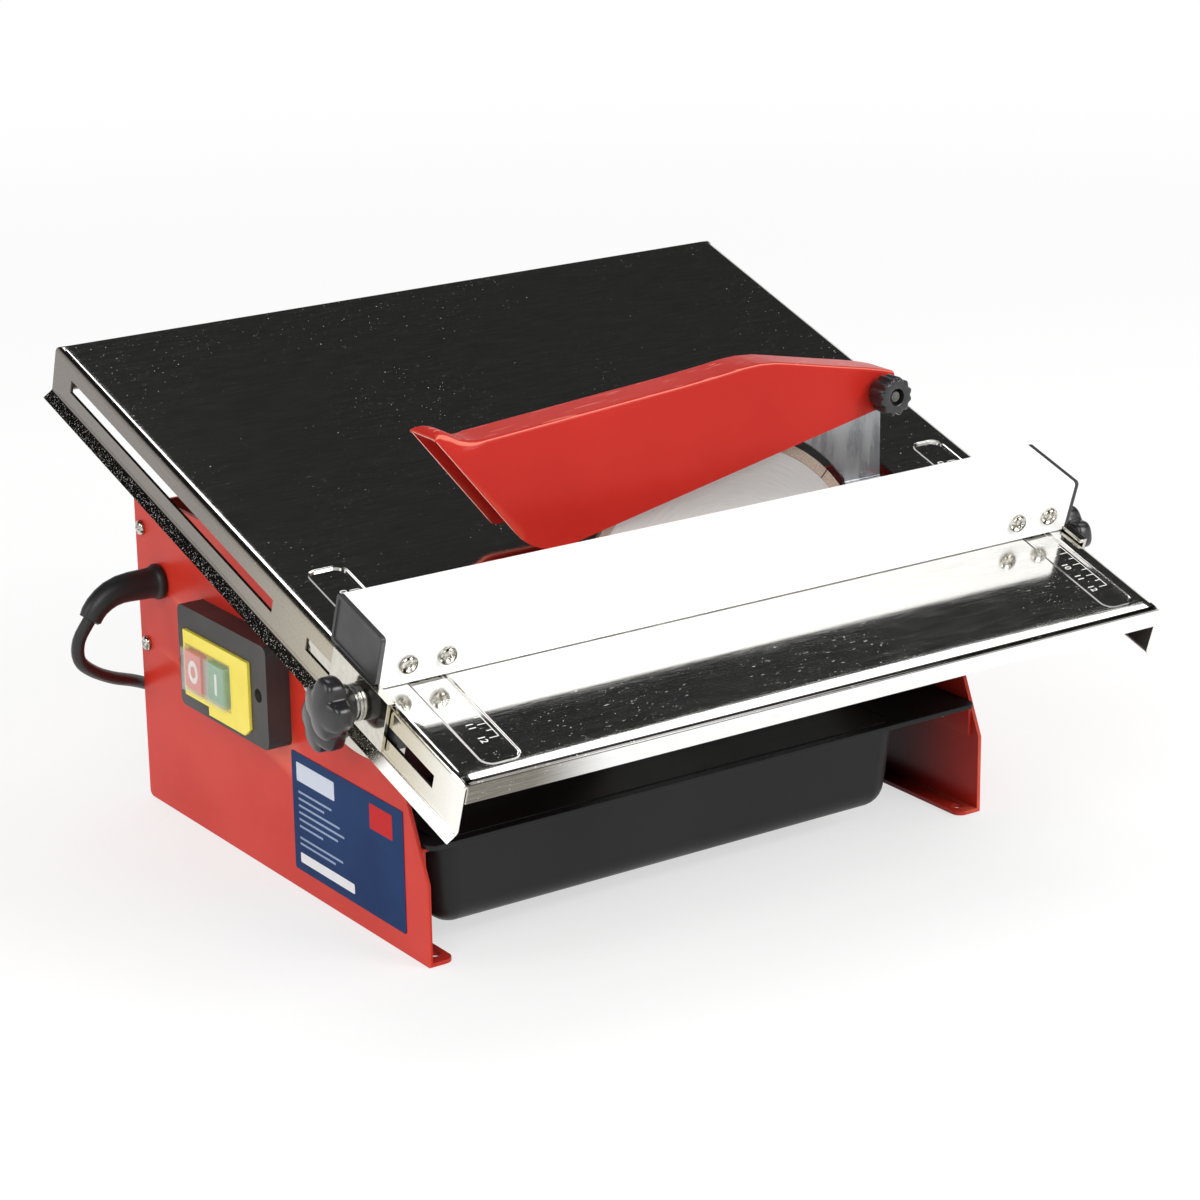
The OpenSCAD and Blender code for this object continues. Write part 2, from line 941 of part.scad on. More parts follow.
module switch_frame() {
    color("gold")
        from_blade()
            difference() {
                yz_plate(-plate_out - box_out - frame_out, -plate_out - box_out + 3)
                    frame_outline();
                for (y = [stop_y, start_y])
                    box(
                        [-plate_out - 20, y - 9.3, button_z - 10.3],
                        [-plate_out - 5, y + 9.3, button_z + 10.3]
                    );
                box([-plate_out - 20, start_y - 10.8, button_z - 11.8],
                    [-plate_out - box_out - frame_out + 1, stop_y + 10.8, button_z + 11.8]);
            }
}

// Clear splash membrane over both buttons.
module switch_membrane() {
    x_out = plate_out + box_out + frame_out + 3.2;
    color("white", 0.35)
        from_blade()
            difference() {
                union() {
                    box(
                        [-x_out + 3.2, start_y - 10.6, button_z - 11.6],
                        [-x_out + 4.2, stop_y + 10.6, button_z + 11.6]
                    );
                    for (y = [stop_y, start_y])
                        box([-x_out, y - 10, button_z - 11], [-x_out + 4.2, y + 10, button_z + 11]);
                }
                for (y = [stop_y, start_y])
                    box([-x_out + 0.8, y - 9.2, button_z - 10.2], [-x_out + 5, y + 9.2, button_z + 10.2]);
            }
}

module switch_screws() {
    color("silver")
        from_blade()
            for (p = switch_screw_yz)
                translate([-plate_out - 8, p[0], p[1]])
                    rotate([0, -90, 0])
                        pan_screw(3.2, 2.2, 1.7, 14);
}

// Push button with a stem, centred on y.
module button(y) {
    from_blade() {
        box([-plate_out - box_out - frame_out - 1.8, y - 8.8, button_z - 9.8],
            [-plate_out - box_out + 4, y + 8.8, button_z + 9.8]);
        box([-plate_out - box_out + 3.9, y - 4, button_z - 4], [-plate_out - 5.2, y + 4, button_z + 4]);
    }
}

module stop_button() {
    color("red")
        button(stop_y);
}

module start_button() {
    color("green")
        button(start_y);
}

// Bare rating label on the left plate.
module rating_label() {
    color("#1f3c66")
        from_blade()
            yz_plate(-plate_out - 0.3, -plate_out)
                round_rect([-31.5, 10], [69.5, 70.3], 1.5);
}

// ---------------------------------------------------------------- tilt lock

// Riveted guide studs that run in the quadrants' tracks.
module guide_studs() {
    color("silver")
        both_sides()
            translate([0, pivot_y + stud_track_r * sin(guide_stud_a), pivot_z - stud_track_r * cos(guide_stud_a)]) {
                x_rod(plate_in - 2, quad_out + 0.4, stud_r);
                x_rod(quad_out + 0.4, quad_out + 2.2, 5.5);
                x_rod(plate_in - 2, plate_in, 5);
            }
}

// Threaded studs for the tilt knobs, with their heads inside the plates.
module tilt_studs() {
    color("silver")
        both_sides()
            translate([0, pivot_y + stud_track_r * sin(lock_stud_a), pivot_z - stud_track_r * cos(lock_stud_a)]) {
                x_rod(plate_in - 3, quad_out + 12, stud_r);
                x_rod(plate_in - 3.5, plate_in, 5);
            }
}

module tilt_washers() {
    color("silver")
        both_sides()
            translate([0, pivot_y + stud_track_r * sin(lock_stud_a), pivot_z - stud_track_r * cos(lock_stud_a)])
                difference() {
                    x_rod(quad_out + 0.2, quad_out + 1.7, 7);
                    x_rod(quad_out - 1, quad_out + 3, stud_r + 0.05);
                }
}

module tilt_knob() {
    translate([0, pivot_y + stud_track_r * sin(lock_stud_a), pivot_z - stud_track_r * cos(lock_stud_a)])
        translate([quad_out + 1.9, 0, 0])
            rotate([0, 90, 0])
                star_knob(14.5, 9, 9, 5, 4, stud_r + 0.05);
}

module left_tilt_knob() {
    color("black")
        mirror([1, 0, 0])
            tilt_knob();
}

module right_tilt_knob() {
    color("black")
        tilt_knob();
}

// ---------------------------------------------------------------- table

function down(r, a) = [r * sin(a), -r * cos(a)];

// Outline of a quadrant in the table's YZ plane, with its track about the tilt axis.
module quadrant_outline() {
    track_half = stud_r + track_clear;
    difference() {
        intersection() {
            circle(r = quad_r, $fn = 96);
            polygon([
                [quad_y[0], -table_t - sheet_t],
                [quad_y[0] + 2, -120],
                [quad_y[1] - 9, -120],
                [quad_y[1], -table_t - sheet_t]
            ]);
        }
        intersection() {
            difference() {
                circle(r = stud_track_r + track_half, $fn = 96);
                circle(r = stud_track_r - track_half, $fn = 96);
            }
            polygon([[0, 0], down(120, track_a1), down(150, (track_a1 + track_a2) / 2), down(120, track_a2)]);
        }
        for (a = [track_a1, track_a2])
            translate(down(stud_track_r, a))
                circle(r = track_half);
    }
}

track_a1 = lock_stud_a - 46;
track_a2 = guide_stud_a + 1;

module quadrant() {
    yz_plate(plate_out + quad_gap, quad_out)
        quadrant_outline();
    box([plate_out + quad_gap, quad_y[0], -table_t - sheet_t], [plate_out + 22, quad_y[1], -table_t]);
}

// The flanges are let in below the ruler troughs.
module left_quadrant() {
    color("gainsboro")
        on_table()
            difference() {
                mirror([1, 0, 0])
                    quadrant();
                trough_back(trough_left);
            }
}

module right_quadrant() {
    color("gainsboro")
        on_table()
            difference() {
                quadrant();
                trough_back(trough_right);
            }
}

// Underside of a pressed trough, t is its range along X.
module trough_back(t) {
    translate([0, 0, -table_t - trough_depth])
        linear_extrude(table_t)
            round_rect(
                [t[0] - 0.8, trough_y[0] - front_d - 0.8],
                [t[1] + 0.8, trough_y[1] - front_d + 0.8], 5.8
            );
}

// Profile of a folded edge, outward to +X, from the top face at x = -inset.
function edge_profile(inset, h, lip) =
    let (m = table_t / 2, c = [bend_r - table_t, 1 - h])
    folded(concat(
        [[-inset, -m]],
        arc([-bend_r, -bend_r], bend_mid, 90, 0, 6),
        lip ? concat(
            arc(c, bend_mid, 180, 270 - lip_a, 5),
            [c - bend_mid * [sin(lip_a), cos(lip_a)] + lip_run * [cos(lip_a), -sin(lip_a)]]
        ) : [[-m, -h]]
    ), table_t);

// Extrudes an edge profile along the left-right direction or the front-back direction.
module side_flange() {
    intersection() {
        translate([table_w / 2, rear_d - 0.6, 0])
            rotate([90, 0, 0])
                linear_extrude(table_d - 1.2)
                    polygon(edge_profile(6, flange_h, true));
        yz_plate(table_w / 2 - 10, table_w / 2 + 20)
            hull() {
                translate([rear_d - bend_r, -bend_r])
                    circle(r = bend_r, $fn = 32);
                translate([bend_r - front_d, -bend_r])
                    circle(r = bend_r, $fn = 32);
                translate([-front_d, -flange_h - 20])
                    square([table_d, 1]);
            }
    }
}

module rear_flange() {
    translate([table_w / 2 - 2, rear_d, 0])
        rotate([90, 0, -90])
            mirror([1, 0, 0])
                linear_extrude(table_w - 4)
                    polygon(edge_profile(6, flange_h, true));
}

module front_flange() {
    translate([-table_w / 2 + 2, -front_d, 0])
        rotate([90, 0, 90])
            mirror([1, 0, 0])
                linear_extrude(table_w - 4)
                    polygon(edge_profile(6, front_flange_h, false));
}

module table_top() {
    color("#303234")
        on_table()
            difference() {
                union() {
                    box([-table_w / 2 + 5, -front_d + 5, -table_t], [table_w / 2 - 5, rear_d - 5, 0]);
                    both_sides()
                        side_flange();
                    rear_flange();
                    front_flange();
                    for (t = [trough_left, trough_right])
                        trough_back(t);
                }
                box([slot_x[0], slot_y[0], -5], [slot_x[1], slot_y[1], 5]);
                for (t = [trough_left, trough_right])
                    translate([0, 0, -trough_depth])
                        linear_extrude(5)
                            round_rect([t[0], trough_y[0] - front_d], [t[1], trough_y[1] - front_d], 5);
                both_sides()
                    for (s = [front_slot, rear_slot])
                        box([table_w / 2 - 5, s[0] - front_d, slot_z - slot_h / 2],
                            [table_w / 2 + 5, s[1] - front_d, slot_z + slot_h / 2]);
            }
}

// ---------------------------------------------------------------- fence

// Moves children so that y counts from the table's front edge.
module from_edge() {
    on_table()
        translate([0, -front_d, 0])
            children();
}

// The walls reach down to the table, with a notch at each end for the bracket's strip.
module fence_rail() {
    z2 = rail_z + fence_h;
    y1 = fence_pos;
    y2 = fence_pos + fence_w;
    color("#e8eaec")
        from_edge()
            difference() {
                yz_plate(-fence_len / 2, fence_len / 2)
                    polygon(folded(concat(
                        [[y1 + rail_t / 2, rail_foot]],
                        arc([y1 + 2, z2 - 2], 2 - rail_t / 2, 180, 90, 4),
                        arc([y2 - 2, z2 - 2], 2 - rail_t / 2, 90, 0, 4),
                        [[y2 - rail_t / 2, rail_foot]]
                    ), rail_t));
                both_sides()
                    box([bracket_x - 2.9, y1 - 1, 0], [fence_len / 2 + 1, y2 + 1, rail_z + 0.05]);
                both_sides()
                    for (x = fence_screw_x)
                        translate([x, 0, fence_screw_z])
                            y_rod(y1 - 1, y1 + 4, 2.55);
            }
}

// End cap with a raised rim and a plug inside the rail.
module fence_cap() {
    x1 = fence_len / 2;
    y1 = fence_pos;
    y2 = fence_pos + fence_w;
    z1 = rail_z + 0.1;
    z2 = rail_z + fence_h;
    from_edge()
        difference() {
            union() {
                yz_plate(x1, x1 + cap_t)
                    round_rect([y1, z1], [y2, z2], 2);
                yz_plate(x1 - 6, x1)
                    round_rect([y1 + 3.7, z1 + 2], [y2 - rail_t - 0.2, z2 - rail_t - 0.2], 1);
            }
            yz_plate(x1 + cap_t - 0.7, x1 + cap_t + 1)
                round_rect([y1 + 2, z1 + 2], [y2 - 2, z2 - 2], 1);
        }
}

module fence_end_caps() {
    color("#2e2e2e")
        both_sides()
            fence_cap();
}

// Bracket: a leg inside the rail, a strip over the table's edge and a leg outside the flange.
module fence_bracket() {
    x2 = bracket_x + strip_t;
    from_edge()
        difference() {
            union() {
                box([bracket_x, bracket_pos[0], -23], [x2, bracket_pos[1], rail_z]);
                box([bracket_x - 2.4, bracket_pos[0], strip_z], [x2, bracket_pos[1], rail_z]);
                box([148, fence_pos + 1.6, strip_z], [x2, bracket_pos[1], rail_z]);
                box([148, fence_pos + 1.6, strip_z], [192, fence_pos + 3.4, rail_z + 16]);
            }
            translate([0, stud_pos, slot_z])
                x_rod(bracket_x - 1, x2 + 1, stud_r + 0.05);
            for (x = fence_screw_x)
                translate([x, 0, fence_screw_z])
                    y_rod(fence_pos, fence_pos + 5, 2.1);
        }
}

module left_fence_bracket() {
    color("gainsboro")
        mirror([1, 0, 0])
            fence_bracket();
}

module right_fence_bracket() {
    color("gainsboro")
        fence_bracket();
}

module fence_screws() {
    color("silver")
        from_edge()
            both_sides()
                for (x = fence_screw_x)
                    translate([x, fence_pos, fence_screw_z])
                        rotate([90, 0, 0])
                            pan_screw(4.6, 3, 2.05, 9);
}

// Studs through the brackets and the flange slots, with a square head behind.
module fence_studs() {
    color("silver")
        from_edge()
            both_sides()
                translate([0, stud_pos, slot_z])
                    x_rod(table_w / 2 - 9, knob_x + 10, stud_r);
}

module fence_washers() {
    color("silver")
        from_edge()
            both_sides()
                translate([0, stud_pos, slot_z])
                    difference() {
                        union() {
                            x_rod(bracket_x + strip_t, bracket_x + strip_t + 1.5, 8.5);
                            x_rod(bracket_x + strip_t + 1.5, bracket_x + strip_t + 3, 7);
                        }
                        x_rod(bracket_x, knob_x + 5, stud_r + 0.05);
                    }
}

// Plastic blocks inside the flanges that hold the studs' nuts.
module clamp_blocks() {
    color("#1c1c1c")
        from_edge()
            both_sides()
                difference() {
                    box([table_w / 2 - table_t - 9.5, 54, slot_z - 5.5],
                        [table_w / 2 - table_t - 0.3, 97, slot_z + 5.5]);
                    translate([0, stud_pos, slot_z])
                        x_rod(table_w / 2 - 12, table_w / 2, stud_r + 0.05);
                }
}

module fence_knob() {
    from_edge()
        translate([knob_x, stud_pos, slot_z])
            rotate([0, 90, 0])
                star_knob(14.5, 9, 9, 5, 4, stud_r + 0.05);
}

module left_fence_knob() {
    color("black")
        mirror([1, 0, 0])
            fence_knob();
}

module right_fence_knob() {
    color("black")
        fence_knob();
}

// ---------------------------------------------------------------- cord

// Points along a smooth curve through the route, and rings about them.
function cat(p, i, t) =
    let (
        a = p[max(i - 1, 0)], b = p[i], c = p[i + 1], d = p[min(i + 2, len(p) - 1)]
    )
    0.5 * ((2 * b) + (c - a) * t + (2 * a - 5 * b + 4 * c - d) * t * t + (3 * b - a - 3 * c + d) * t * t * t);

function smooth(p, n) = concat(
    [for (i = [0:len(p) - 2], k = [0:n - 1]) cat(p, i, k / n)],
    [p[len(p) - 1]]
);

function tangent(p, i) = unit(p[min(i + 1, len(p) - 1)] - p[max(i - 1, 0)]);

// Ring of k points of radius r about point i.
function loop3(p, i, r, k) =
    let (t = tangent(p, i), u = unit(cross(t, [0, 0.35, 1])), v = cross(u, t))
    [for (j = [0:k - 1]) p[i] + r * (u * cos(360 * j / k) + v * sin(360 * j / k))];

// Tube through the points; radii is one value for each point.
module sweep(p, radii, k = 10) {
    n = len(p);
    pts = [for (i = [0:n - 1]) each loop3(p, i, radii[i], k)];
    sides = [for (i = [0:n - 2], j = [0:k - 1])
        [i * k + j, i * k + (j + 1) % k, (i + 1) * k + (j + 1) % k, (i + 1) * k + j]];
    ends = [[for (j = [k - 1:-1:0]) j], [for (j = [0:k - 1]) (n - 1) * k + j]];
    polyhedron(points = pts, faces = concat(sides, ends), convexity = 6);
}

boot_path = [
    [-plate_out - 3, 0, 0],
    [-plate_out - 14, 0, 0.5],
    [-plate_out - 26, 0, -1],
    [-plate_out - 35, 0, -6],
    [-203, 0, -12.5]
];

// Gland collar against the plate, then a tapered bend-protection sleeve.
module strain_relief() {
    pts = smooth(boot_path, 3);
    n = len(pts) - 1;
    color("#2b2b2b")
        translate([0, pivot_y + boot_y, boot_z]) {
            x_rod(-plate_out - 4, -plate_out, 9);
            x_rod(-plate_out, -plate_in + 4, 5.4);
            x_rod(-plate_in + 0.1, -plate_in + 4, 8);
            sweep(pts, [for (i = [0:n]) 7.5 - 2.7 * i / n], 16);
        }
}

// The run from the sleeve to the coil, and the short run from the coil to the plug.
module mains_cord() {
    run = smooth([for (p = route) [p[0], p[1] + boot_y, p[2]]], 3);
    lead = smooth([for (p = plug_route) coil_c + p], 3);
    color("#1d1d1d") {
        translate([0, pivot_y, 0])
            sweep(run, [for (p = run) cord_r], 8);
        sweep(lead, [for (p = lead) cord_r], 8);
    }
}

module cord_coil() {
    color("#1d1d1d")
        translate(coil_c)
            rotate_extrude()
                translate([coil_od / 2 - coil_turns * cord_d, 0.2])
                    square([coil_turns * cord_d, coil_turns * cord_d]);
}

// The cord runs into the coil's outer turn at its near side, and leaves from
// its top layer over the outer turns, straight towards the plug.
coil_c = [-40, pivot_y + boot_y + 66 + coil_od / 2 - cord_r, 0];
turn_r = coil_od / 2 - cord_r;
plug_route = [
    [24, -22.4, 22], [31.5, -13, 23.4], [38, -2, 23.4], [42.6, 10, 23.2],
    [turn_r, 22, 20.5], [turn_r, 34, 14.2], [turn_r, 46, 9.2]
];

// Mains plug lying beside the coil, pins up.
module mains_plug() {
    translate(coil_c + [turn_r, 46, 0.2]) {
        color("#1d1d1d")
            linear_extrude(18)
                round_rect([-25, 0], [25, 46], 8);
        color("gold") {
            translate([-2, 31, 17.5])
                cube([4, 8, 23]);
            for (x = [-11.1, 11.1])
                translate([x - 3.2, 9, 17.5])
                    cube([6.4, 4, 18]);
        }
    }
}

// ---------------------------------------------------------------- nodes

left_side_plate();
right_side_plate();
rear_panel();
motor_plate();
knife_bracket();
chassis_screws();
motor_front_bell();
stator_core();
stator_windings();
motor_rear_bell();
fan_cowl();
motor_tie_bolts();
motor_bearings();
run_capacitor();
capacitor_clip();
riving_knife();
knife_screws();
water_tray();
tray_rails();
tray_screws();
switch_box();
switch_body();
switch_frame();
switch_membrane();
switch_screws();
rating_label();
guide_studs();
tilt_studs();
tilt_washers();
strain_relief();
mains_cord();
cord_coil();
mains_plug();
table_top();
left_quadrant();
right_quadrant();
fence_rail();
fence_end_caps();
left_fence_bracket();
right_fence_bracket();
fence_screws();
fence_studs();
fence_washers();
clamp_blocks();
left_fence_knob();
right_fence_knob();
left_tilt_knob();
right_tilt_knob();
blade_guard();
guard_bolt();
guard_spacers();
guard_knob();
motor_shaft();
rotor_core();
cooling_fan();
blade_flanges();
cutting_blade();
arbor_nut();
stop_button();
start_button();
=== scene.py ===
import json
import math

import bmesh
import bpy
from mathutils import Matrix, Vector

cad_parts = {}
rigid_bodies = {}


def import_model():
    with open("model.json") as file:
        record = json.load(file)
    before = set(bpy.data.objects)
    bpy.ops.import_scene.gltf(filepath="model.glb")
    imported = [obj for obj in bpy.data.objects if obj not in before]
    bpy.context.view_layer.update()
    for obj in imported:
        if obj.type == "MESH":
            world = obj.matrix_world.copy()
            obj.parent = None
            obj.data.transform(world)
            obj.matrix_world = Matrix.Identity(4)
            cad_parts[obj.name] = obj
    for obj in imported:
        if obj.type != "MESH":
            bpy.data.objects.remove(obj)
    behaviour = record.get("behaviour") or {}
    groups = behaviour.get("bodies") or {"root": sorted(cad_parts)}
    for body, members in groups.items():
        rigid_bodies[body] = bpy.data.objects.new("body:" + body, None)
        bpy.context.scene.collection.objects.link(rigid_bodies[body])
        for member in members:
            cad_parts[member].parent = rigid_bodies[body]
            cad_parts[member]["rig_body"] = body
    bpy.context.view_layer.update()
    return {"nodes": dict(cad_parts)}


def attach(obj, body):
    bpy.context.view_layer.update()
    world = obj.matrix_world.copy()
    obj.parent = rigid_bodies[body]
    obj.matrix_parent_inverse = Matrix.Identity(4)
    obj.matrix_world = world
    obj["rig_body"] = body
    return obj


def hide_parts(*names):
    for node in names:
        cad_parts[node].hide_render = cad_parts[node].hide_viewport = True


for leftover in list(bpy.data.objects):
    bpy.data.objects.remove(leftover)
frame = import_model()
scene = bpy.context.scene
scene.view_settings.view_transform = "Standard"

# ---- camera
# A long lens at the front left corner, a little above the table, so that the
# tilted top, the left plate and the fence are all seen.
LOOK_AT = Vector((-0.0139, -0.0237, 0.1264))
DISTANCE = 1.7
AZIMUTH, ELEVATION, ROLL = (math.radians(a) for a in (-34.29, 18.14, -0.84))


def linked(name, data):
    """A new object in the scene."""
    piece = bpy.data.objects.new(name, data)
    scene.collection.objects.link(piece)
    return piece


camera = linked("camera", bpy.data.cameras.new("camera"))
turn = Matrix.Rotation(AZIMUTH, 4, "Z") @ Matrix.Rotation(math.pi / 2 - ELEVATION, 4, "X")
turn @= Matrix.Rotation(ROLL, 4, "Z")
camera.matrix_world = Matrix.Translation(LOOK_AT) @ turn @ Matrix.Translation((0, 0, DISTANCE))
camera.data.sensor_width = 36
camera.data.lens = 105.7
camera.data.clip_end = 60
scene.camera = camera

# ---- studio
# A pale floor that runs out to a white surround, with two large soft lamps in
# front and a small one behind. The polished top mirrors a dim ceiling, and its
# folds two small lamps.


class Tree:
    """Shorthand for the nodes of one node tree; an input is a value, or a socket to link from."""

    def __init__(self, tree):
        self.tree = tree

    def node(self, kind, inputs=None, **settings):
        node = self.tree.nodes.new(kind)
        for name, value in settings.items():
            setattr(node, name, value)
        for key, value in (inputs or {}).items():
            if isinstance(value, bpy.types.NodeSocket):
                self.tree.links.new(value, node.inputs[key])
            else:
                node.inputs[key].default_value = value
        return node

    def first(self, kind, inputs=None, **settings):
        """The new node's first output."""
        return self.node(kind, inputs, **settings).outputs[0]

    def calc(self, operation, *terms):
        return self.first("ShaderNodeMath", dict(enumerate(terms)), operation=operation)

    def product(self, first, *terms):
        for term in terms:
            first = self.calc("MULTIPLY", first, term)
        return first

    def value(self, share, first, second):
        """Number between two numbers."""
        return self.first("ShaderNodeMix", {0: share, 2: first, 3: second})

    def blend(self, share, first, second):
        """Colour between two colours."""
        return self.node("ShaderNodeMix", {0: share, 6: first, 7: second}, data_type="RGBA").outputs[2]

    def ramp(self, value, low, high, out_low=0, out_high=1):
        """Value taken smoothly from one range to another."""
        inputs = {"Value": value, "From Min": low, "From Max": high, "To Min": out_low, "To Max": out_high}
        return self.first("ShaderNodeMapRange", inputs, interpolation_type="SMOOTHSTEP")

    def place(self):
        """Place on the object, in metres."""
        return self.node("ShaderNodeTexCoord").outputs["Object"]

    def split(self, vector):
        return self.node("ShaderNodeSeparateXYZ", {0: vector}).outputs

    def vector(self, *parts):
        return self.first("ShaderNodeCombineXYZ", dict(enumerate(parts)))

    def noise(self, place, scale, detail, stretch=None, **more):
        """Noise over a place, which stretch multiplies along each axis first."""
        if stretch:
            place = self.first("ShaderNodeVectorMath", {0: place, 1: stretch}, operation="MULTIPLY")
        return self.first("ShaderNodeTexNoise", {"Vector": place, "Scale": scale, "Detail": detail, **more})


def emptied(holder):
    """Node tree of a new world or material, with no nodes yet."""
    holder.use_nodes = True
    holder.node_tree.nodes.clear()
    return Tree(holder.node_tree)


def piece_of(name, shape, material, smooth=40):
    """Object from a bmesh, smooth up to an angle in degrees."""
    mesh = bpy.data.meshes.new(name)
    shape.to_mesh(mesh)
    shape.free()
    mesh.shade_smooth()
    mesh.set_sharp_from_angle(angle=math.radians(smooth))
    mesh.materials.append(material)
    return linked(name, mesh)


AIR_LEVEL, CEILING_LEVEL = 0.52, 0.02
scene.world = bpy.data.worlds.new("studio_air")
air = emptied(scene.world)
ray = air.node("ShaderNodeLightPath").outputs
towards = air.split(air.node("ShaderNodeTexCoord").outputs["Generated"])
walls = air.ramp(towards["Z"], 0.08, 0.5, 1, CEILING_LEVEL)
plain = air.calc("MAXIMUM", ray["Is Camera Ray"], ray["Is Transmission Ray"])
strength = air.value(plain, air.value(ray["Is Glossy Ray"], AIR_LEVEL, walls), 1)
background = air.first("ShaderNodeBackground", {"Color": (1, 1, 1, 1), "Strength": strength})
air.node("ShaderNodeOutputWorld", {0: background})

FLOOR_R, FLOOR_Z = 7, -0.0004
floor_paper = bpy.data.materials.new("floor_paper")
paper = emptied(floor_paper)
ray = paper.node("ShaderNodeLightPath").outputs
place = paper.place()
fibres = paper.blend(paper.noise(place, 300, 3), (0.9, 0.9, 0.895, 1), (0.94, 0.94, 0.935, 1))
matt = paper.first("ShaderNodeBsdfDiffuse", {"Color": fibres})
glow = paper.first("ShaderNodeEmission", {"Color": (1, 1, 1, 1), "Strength": 1})
away = paper.node("ShaderNodeVectorMath", {0: place}, operation="LENGTH").outputs["Value"]
seen = paper.calc("MAXIMUM", ray["Is Camera Ray"], ray["Is Glossy Ray"])
share = paper.product(seen, paper.ramp(away, 0.6, 2.2, 0.62, 1))
paper.node("ShaderNodeOutputMaterial", {0: paper.first("ShaderNodeMixShader", {0: share, 1: matt, 2: glow})})
disc = bmesh.new()
bmesh.ops.create_circle(disc, cap_ends=True, radius=FLOOR_R, segments=96)
floor = piece_of("studio_floor", disc, floor_paper)
floor.location.z = FLOOR_Z

LAMPS = {
    "window_left": ((-1.5, -1.35, 1.75), 1.5, 26),
    "window_right": ((1, -2, 1.5), 1.3, 34),
    "strip_behind": ((-1.75, 0.5, 1), 0.9, 6),
    "box_right": ((1.1, 0, 1.75), 0.97, 6),
    "box_behind": ((0.07, 0.85, 1.93), 0.82, 5),
}
for name, (where, size, watts) in LAMPS.items():
    lamp = linked(name, bpy.data.lights.new(name, "AREA"))
    lamp.data.shape = "DISK"
    lamp.data.size = size
    lamp.data.energy = watts
    lamp.location = where
    lamp.rotation_euler = (Vector(where) - LOOK_AT).to_track_quat("Z", "Y").to_euler()

# ---- side plates
# Two 2 mm steel plates with a foot flange folded in at the bottom, sprayed in
# glossy red enamel. They carry everything else and are screwed to the bench.


def screen(red, green, blue):
    """Linear colour of a tone given in 0 to 255."""
    tones = (v / 255 for v in (red, green, blue))
    return tuple(c / 12.92 if c <= 0.04045 else ((c + 0.055) / 1.055) ** 2.4 for c in tones) + (1,)


def new_skin(name, *more_outputs, **inputs):
    """An empty shader group, with its inputs listed by socket type."""
    group = bpy.data.node_groups.new(name, "ShaderNodeTree")
    sockets = [(title, "INPUT", kind) for kind, titles in inputs.items() for title in titles]
    sockets += [("Tone", "OUTPUT", "Color")]
    sockets += [(title, "OUTPUT", "Float") for title in ("Roughness", "Height", *more_outputs)]
    for title, way, kind in sockets:
        group.interface.new_socket(title, in_out=way, socket_type="NodeSocket" + kind)
    return Tree(group), group.nodes.new("NodeGroupInput").outputs


def close_skin(skin, **values):
    """Links the group's outputs."""
    out = skin.tree.nodes.new("NodeGroupOutput").inputs
    for title, value in values.items():
        skin.tree.links.new(value, out[title])


# Skin of a sprayed or moulded surface: cloudy tone, uneven gloss, fine grain and a paler line along convex
# edges, partly thin-coat wear and partly a painted highlight.
moulded, given = new_skin(
    "moulded_skin", Color=("Tone", "Cloud", "Edge"),
    Float=("Cloud Size", "Edge Share", "Rough", "Rough Spread", "Grain Size"),
)
place = moulded.place()
cloud = moulded.ramp(moulded.noise(place, given["Cloud Size"], 4), 0.3, 0.7)
# Paler convex edges: partly worn thin coat, partly a painted highlight.
edge_wear_and_highlight = moulded.ramp(moulded.node("ShaderNodeNewGeometry").outputs["Pointiness"], 0.53, 0.62)
edge_wear_and_highlight = moulded.product(edge_wear_and_highlight, given["Edge Share"])
tone = moulded.blend(cloud, given["Tone"], given["Cloud"])
swing = moulded.calc("SUBTRACT", cloud, 0.5)
close_skin(
    moulded,
    Tone=moulded.blend(edge_wear_and_highlight, tone, given["Edge"]),
    Roughness=moulded.calc("MULTIPLY_ADD", swing, given["Rough Spread"], given["Rough"]),
    Height=moulded.noise(place, given["Grain Size"], 2),
)


def close_material(paint, inputs):
    """Ends a material in one shader, given its inputs."""
    shader = paint.first("ShaderNodeBsdfPrincipled", inputs)
    paint.node("ShaderNodeOutputMaterial", {0: shader})


def skinned(name, skin, values, relief, depth, **fixed):
    """Material with a skin group's tone, gloss and relief; fixed values go on the shader."""
    material = bpy.data.materials.new(name)
    paint = emptied(material)
    group = paint.node("ShaderNodeGroup", node_tree=skin.tree)
    for key, value in values.items():
        group.inputs[key.replace("_", " ")].default_value = value
    out = group.outputs
    bump = {"Strength": relief, "Distance": depth, "Height": out["Height"]}
    if "Crown" in out:
        bump["Normal"] = paint.first("ShaderNodeBump", {"Strength": 1, "Distance": 1, "Height": out["Crown"]})
    inputs = {key.replace("_", " "): value for key, value in fixed.items()}
    inputs |= {"Base Color": out["Tone"], "Roughness": out["Roughness"]}
    if "Metal" in out:
        inputs["Metallic"] = out["Metal"]
    close_material(paint, inputs | {"Normal": paint.first("ShaderNodeBump", bump)})
    return material


def plastic(
    name, tone, cloud, rough, cloud_size=25, grain_size=1400, spread=0.08, relief=0.12, depth=0.00008, **fixed
):
    return skinned(name, moulded, dict(
        Tone=screen(*tone), Cloud=screen(*cloud), Edge=screen(*tone), Cloud_Size=cloud_size, Rough=rough,
        Rough_Spread=spread, Grain_Size=grain_size,
    ), relief, depth, **fixed)


def enamel(name, tone, cloud, edge, edge_share, shine):
    return skinned(name, moulded, dict(
        Tone=screen(*tone), Cloud=screen(*cloud), Edge=screen(*edge), Edge_Share=edge_share, Cloud_Size=14,
        Rough=0.34, Rough_Spread=0.08, Grain_Size=420,
    ), 0.05, 0.0002, Specular_IOR_Level=shine, Coat_Weight=0.04, Coat_Roughness=0.12)


def painted_over(paint, share, tone):
    """Lays a second tone over a material's own, where share is 1."""
    colour = paint.tree.nodes["Principled BSDF"].inputs["Base Color"]
    paint.tree.links.new(paint.blend(share, colour.links[0].from_socket, screen(*tone)), colour)
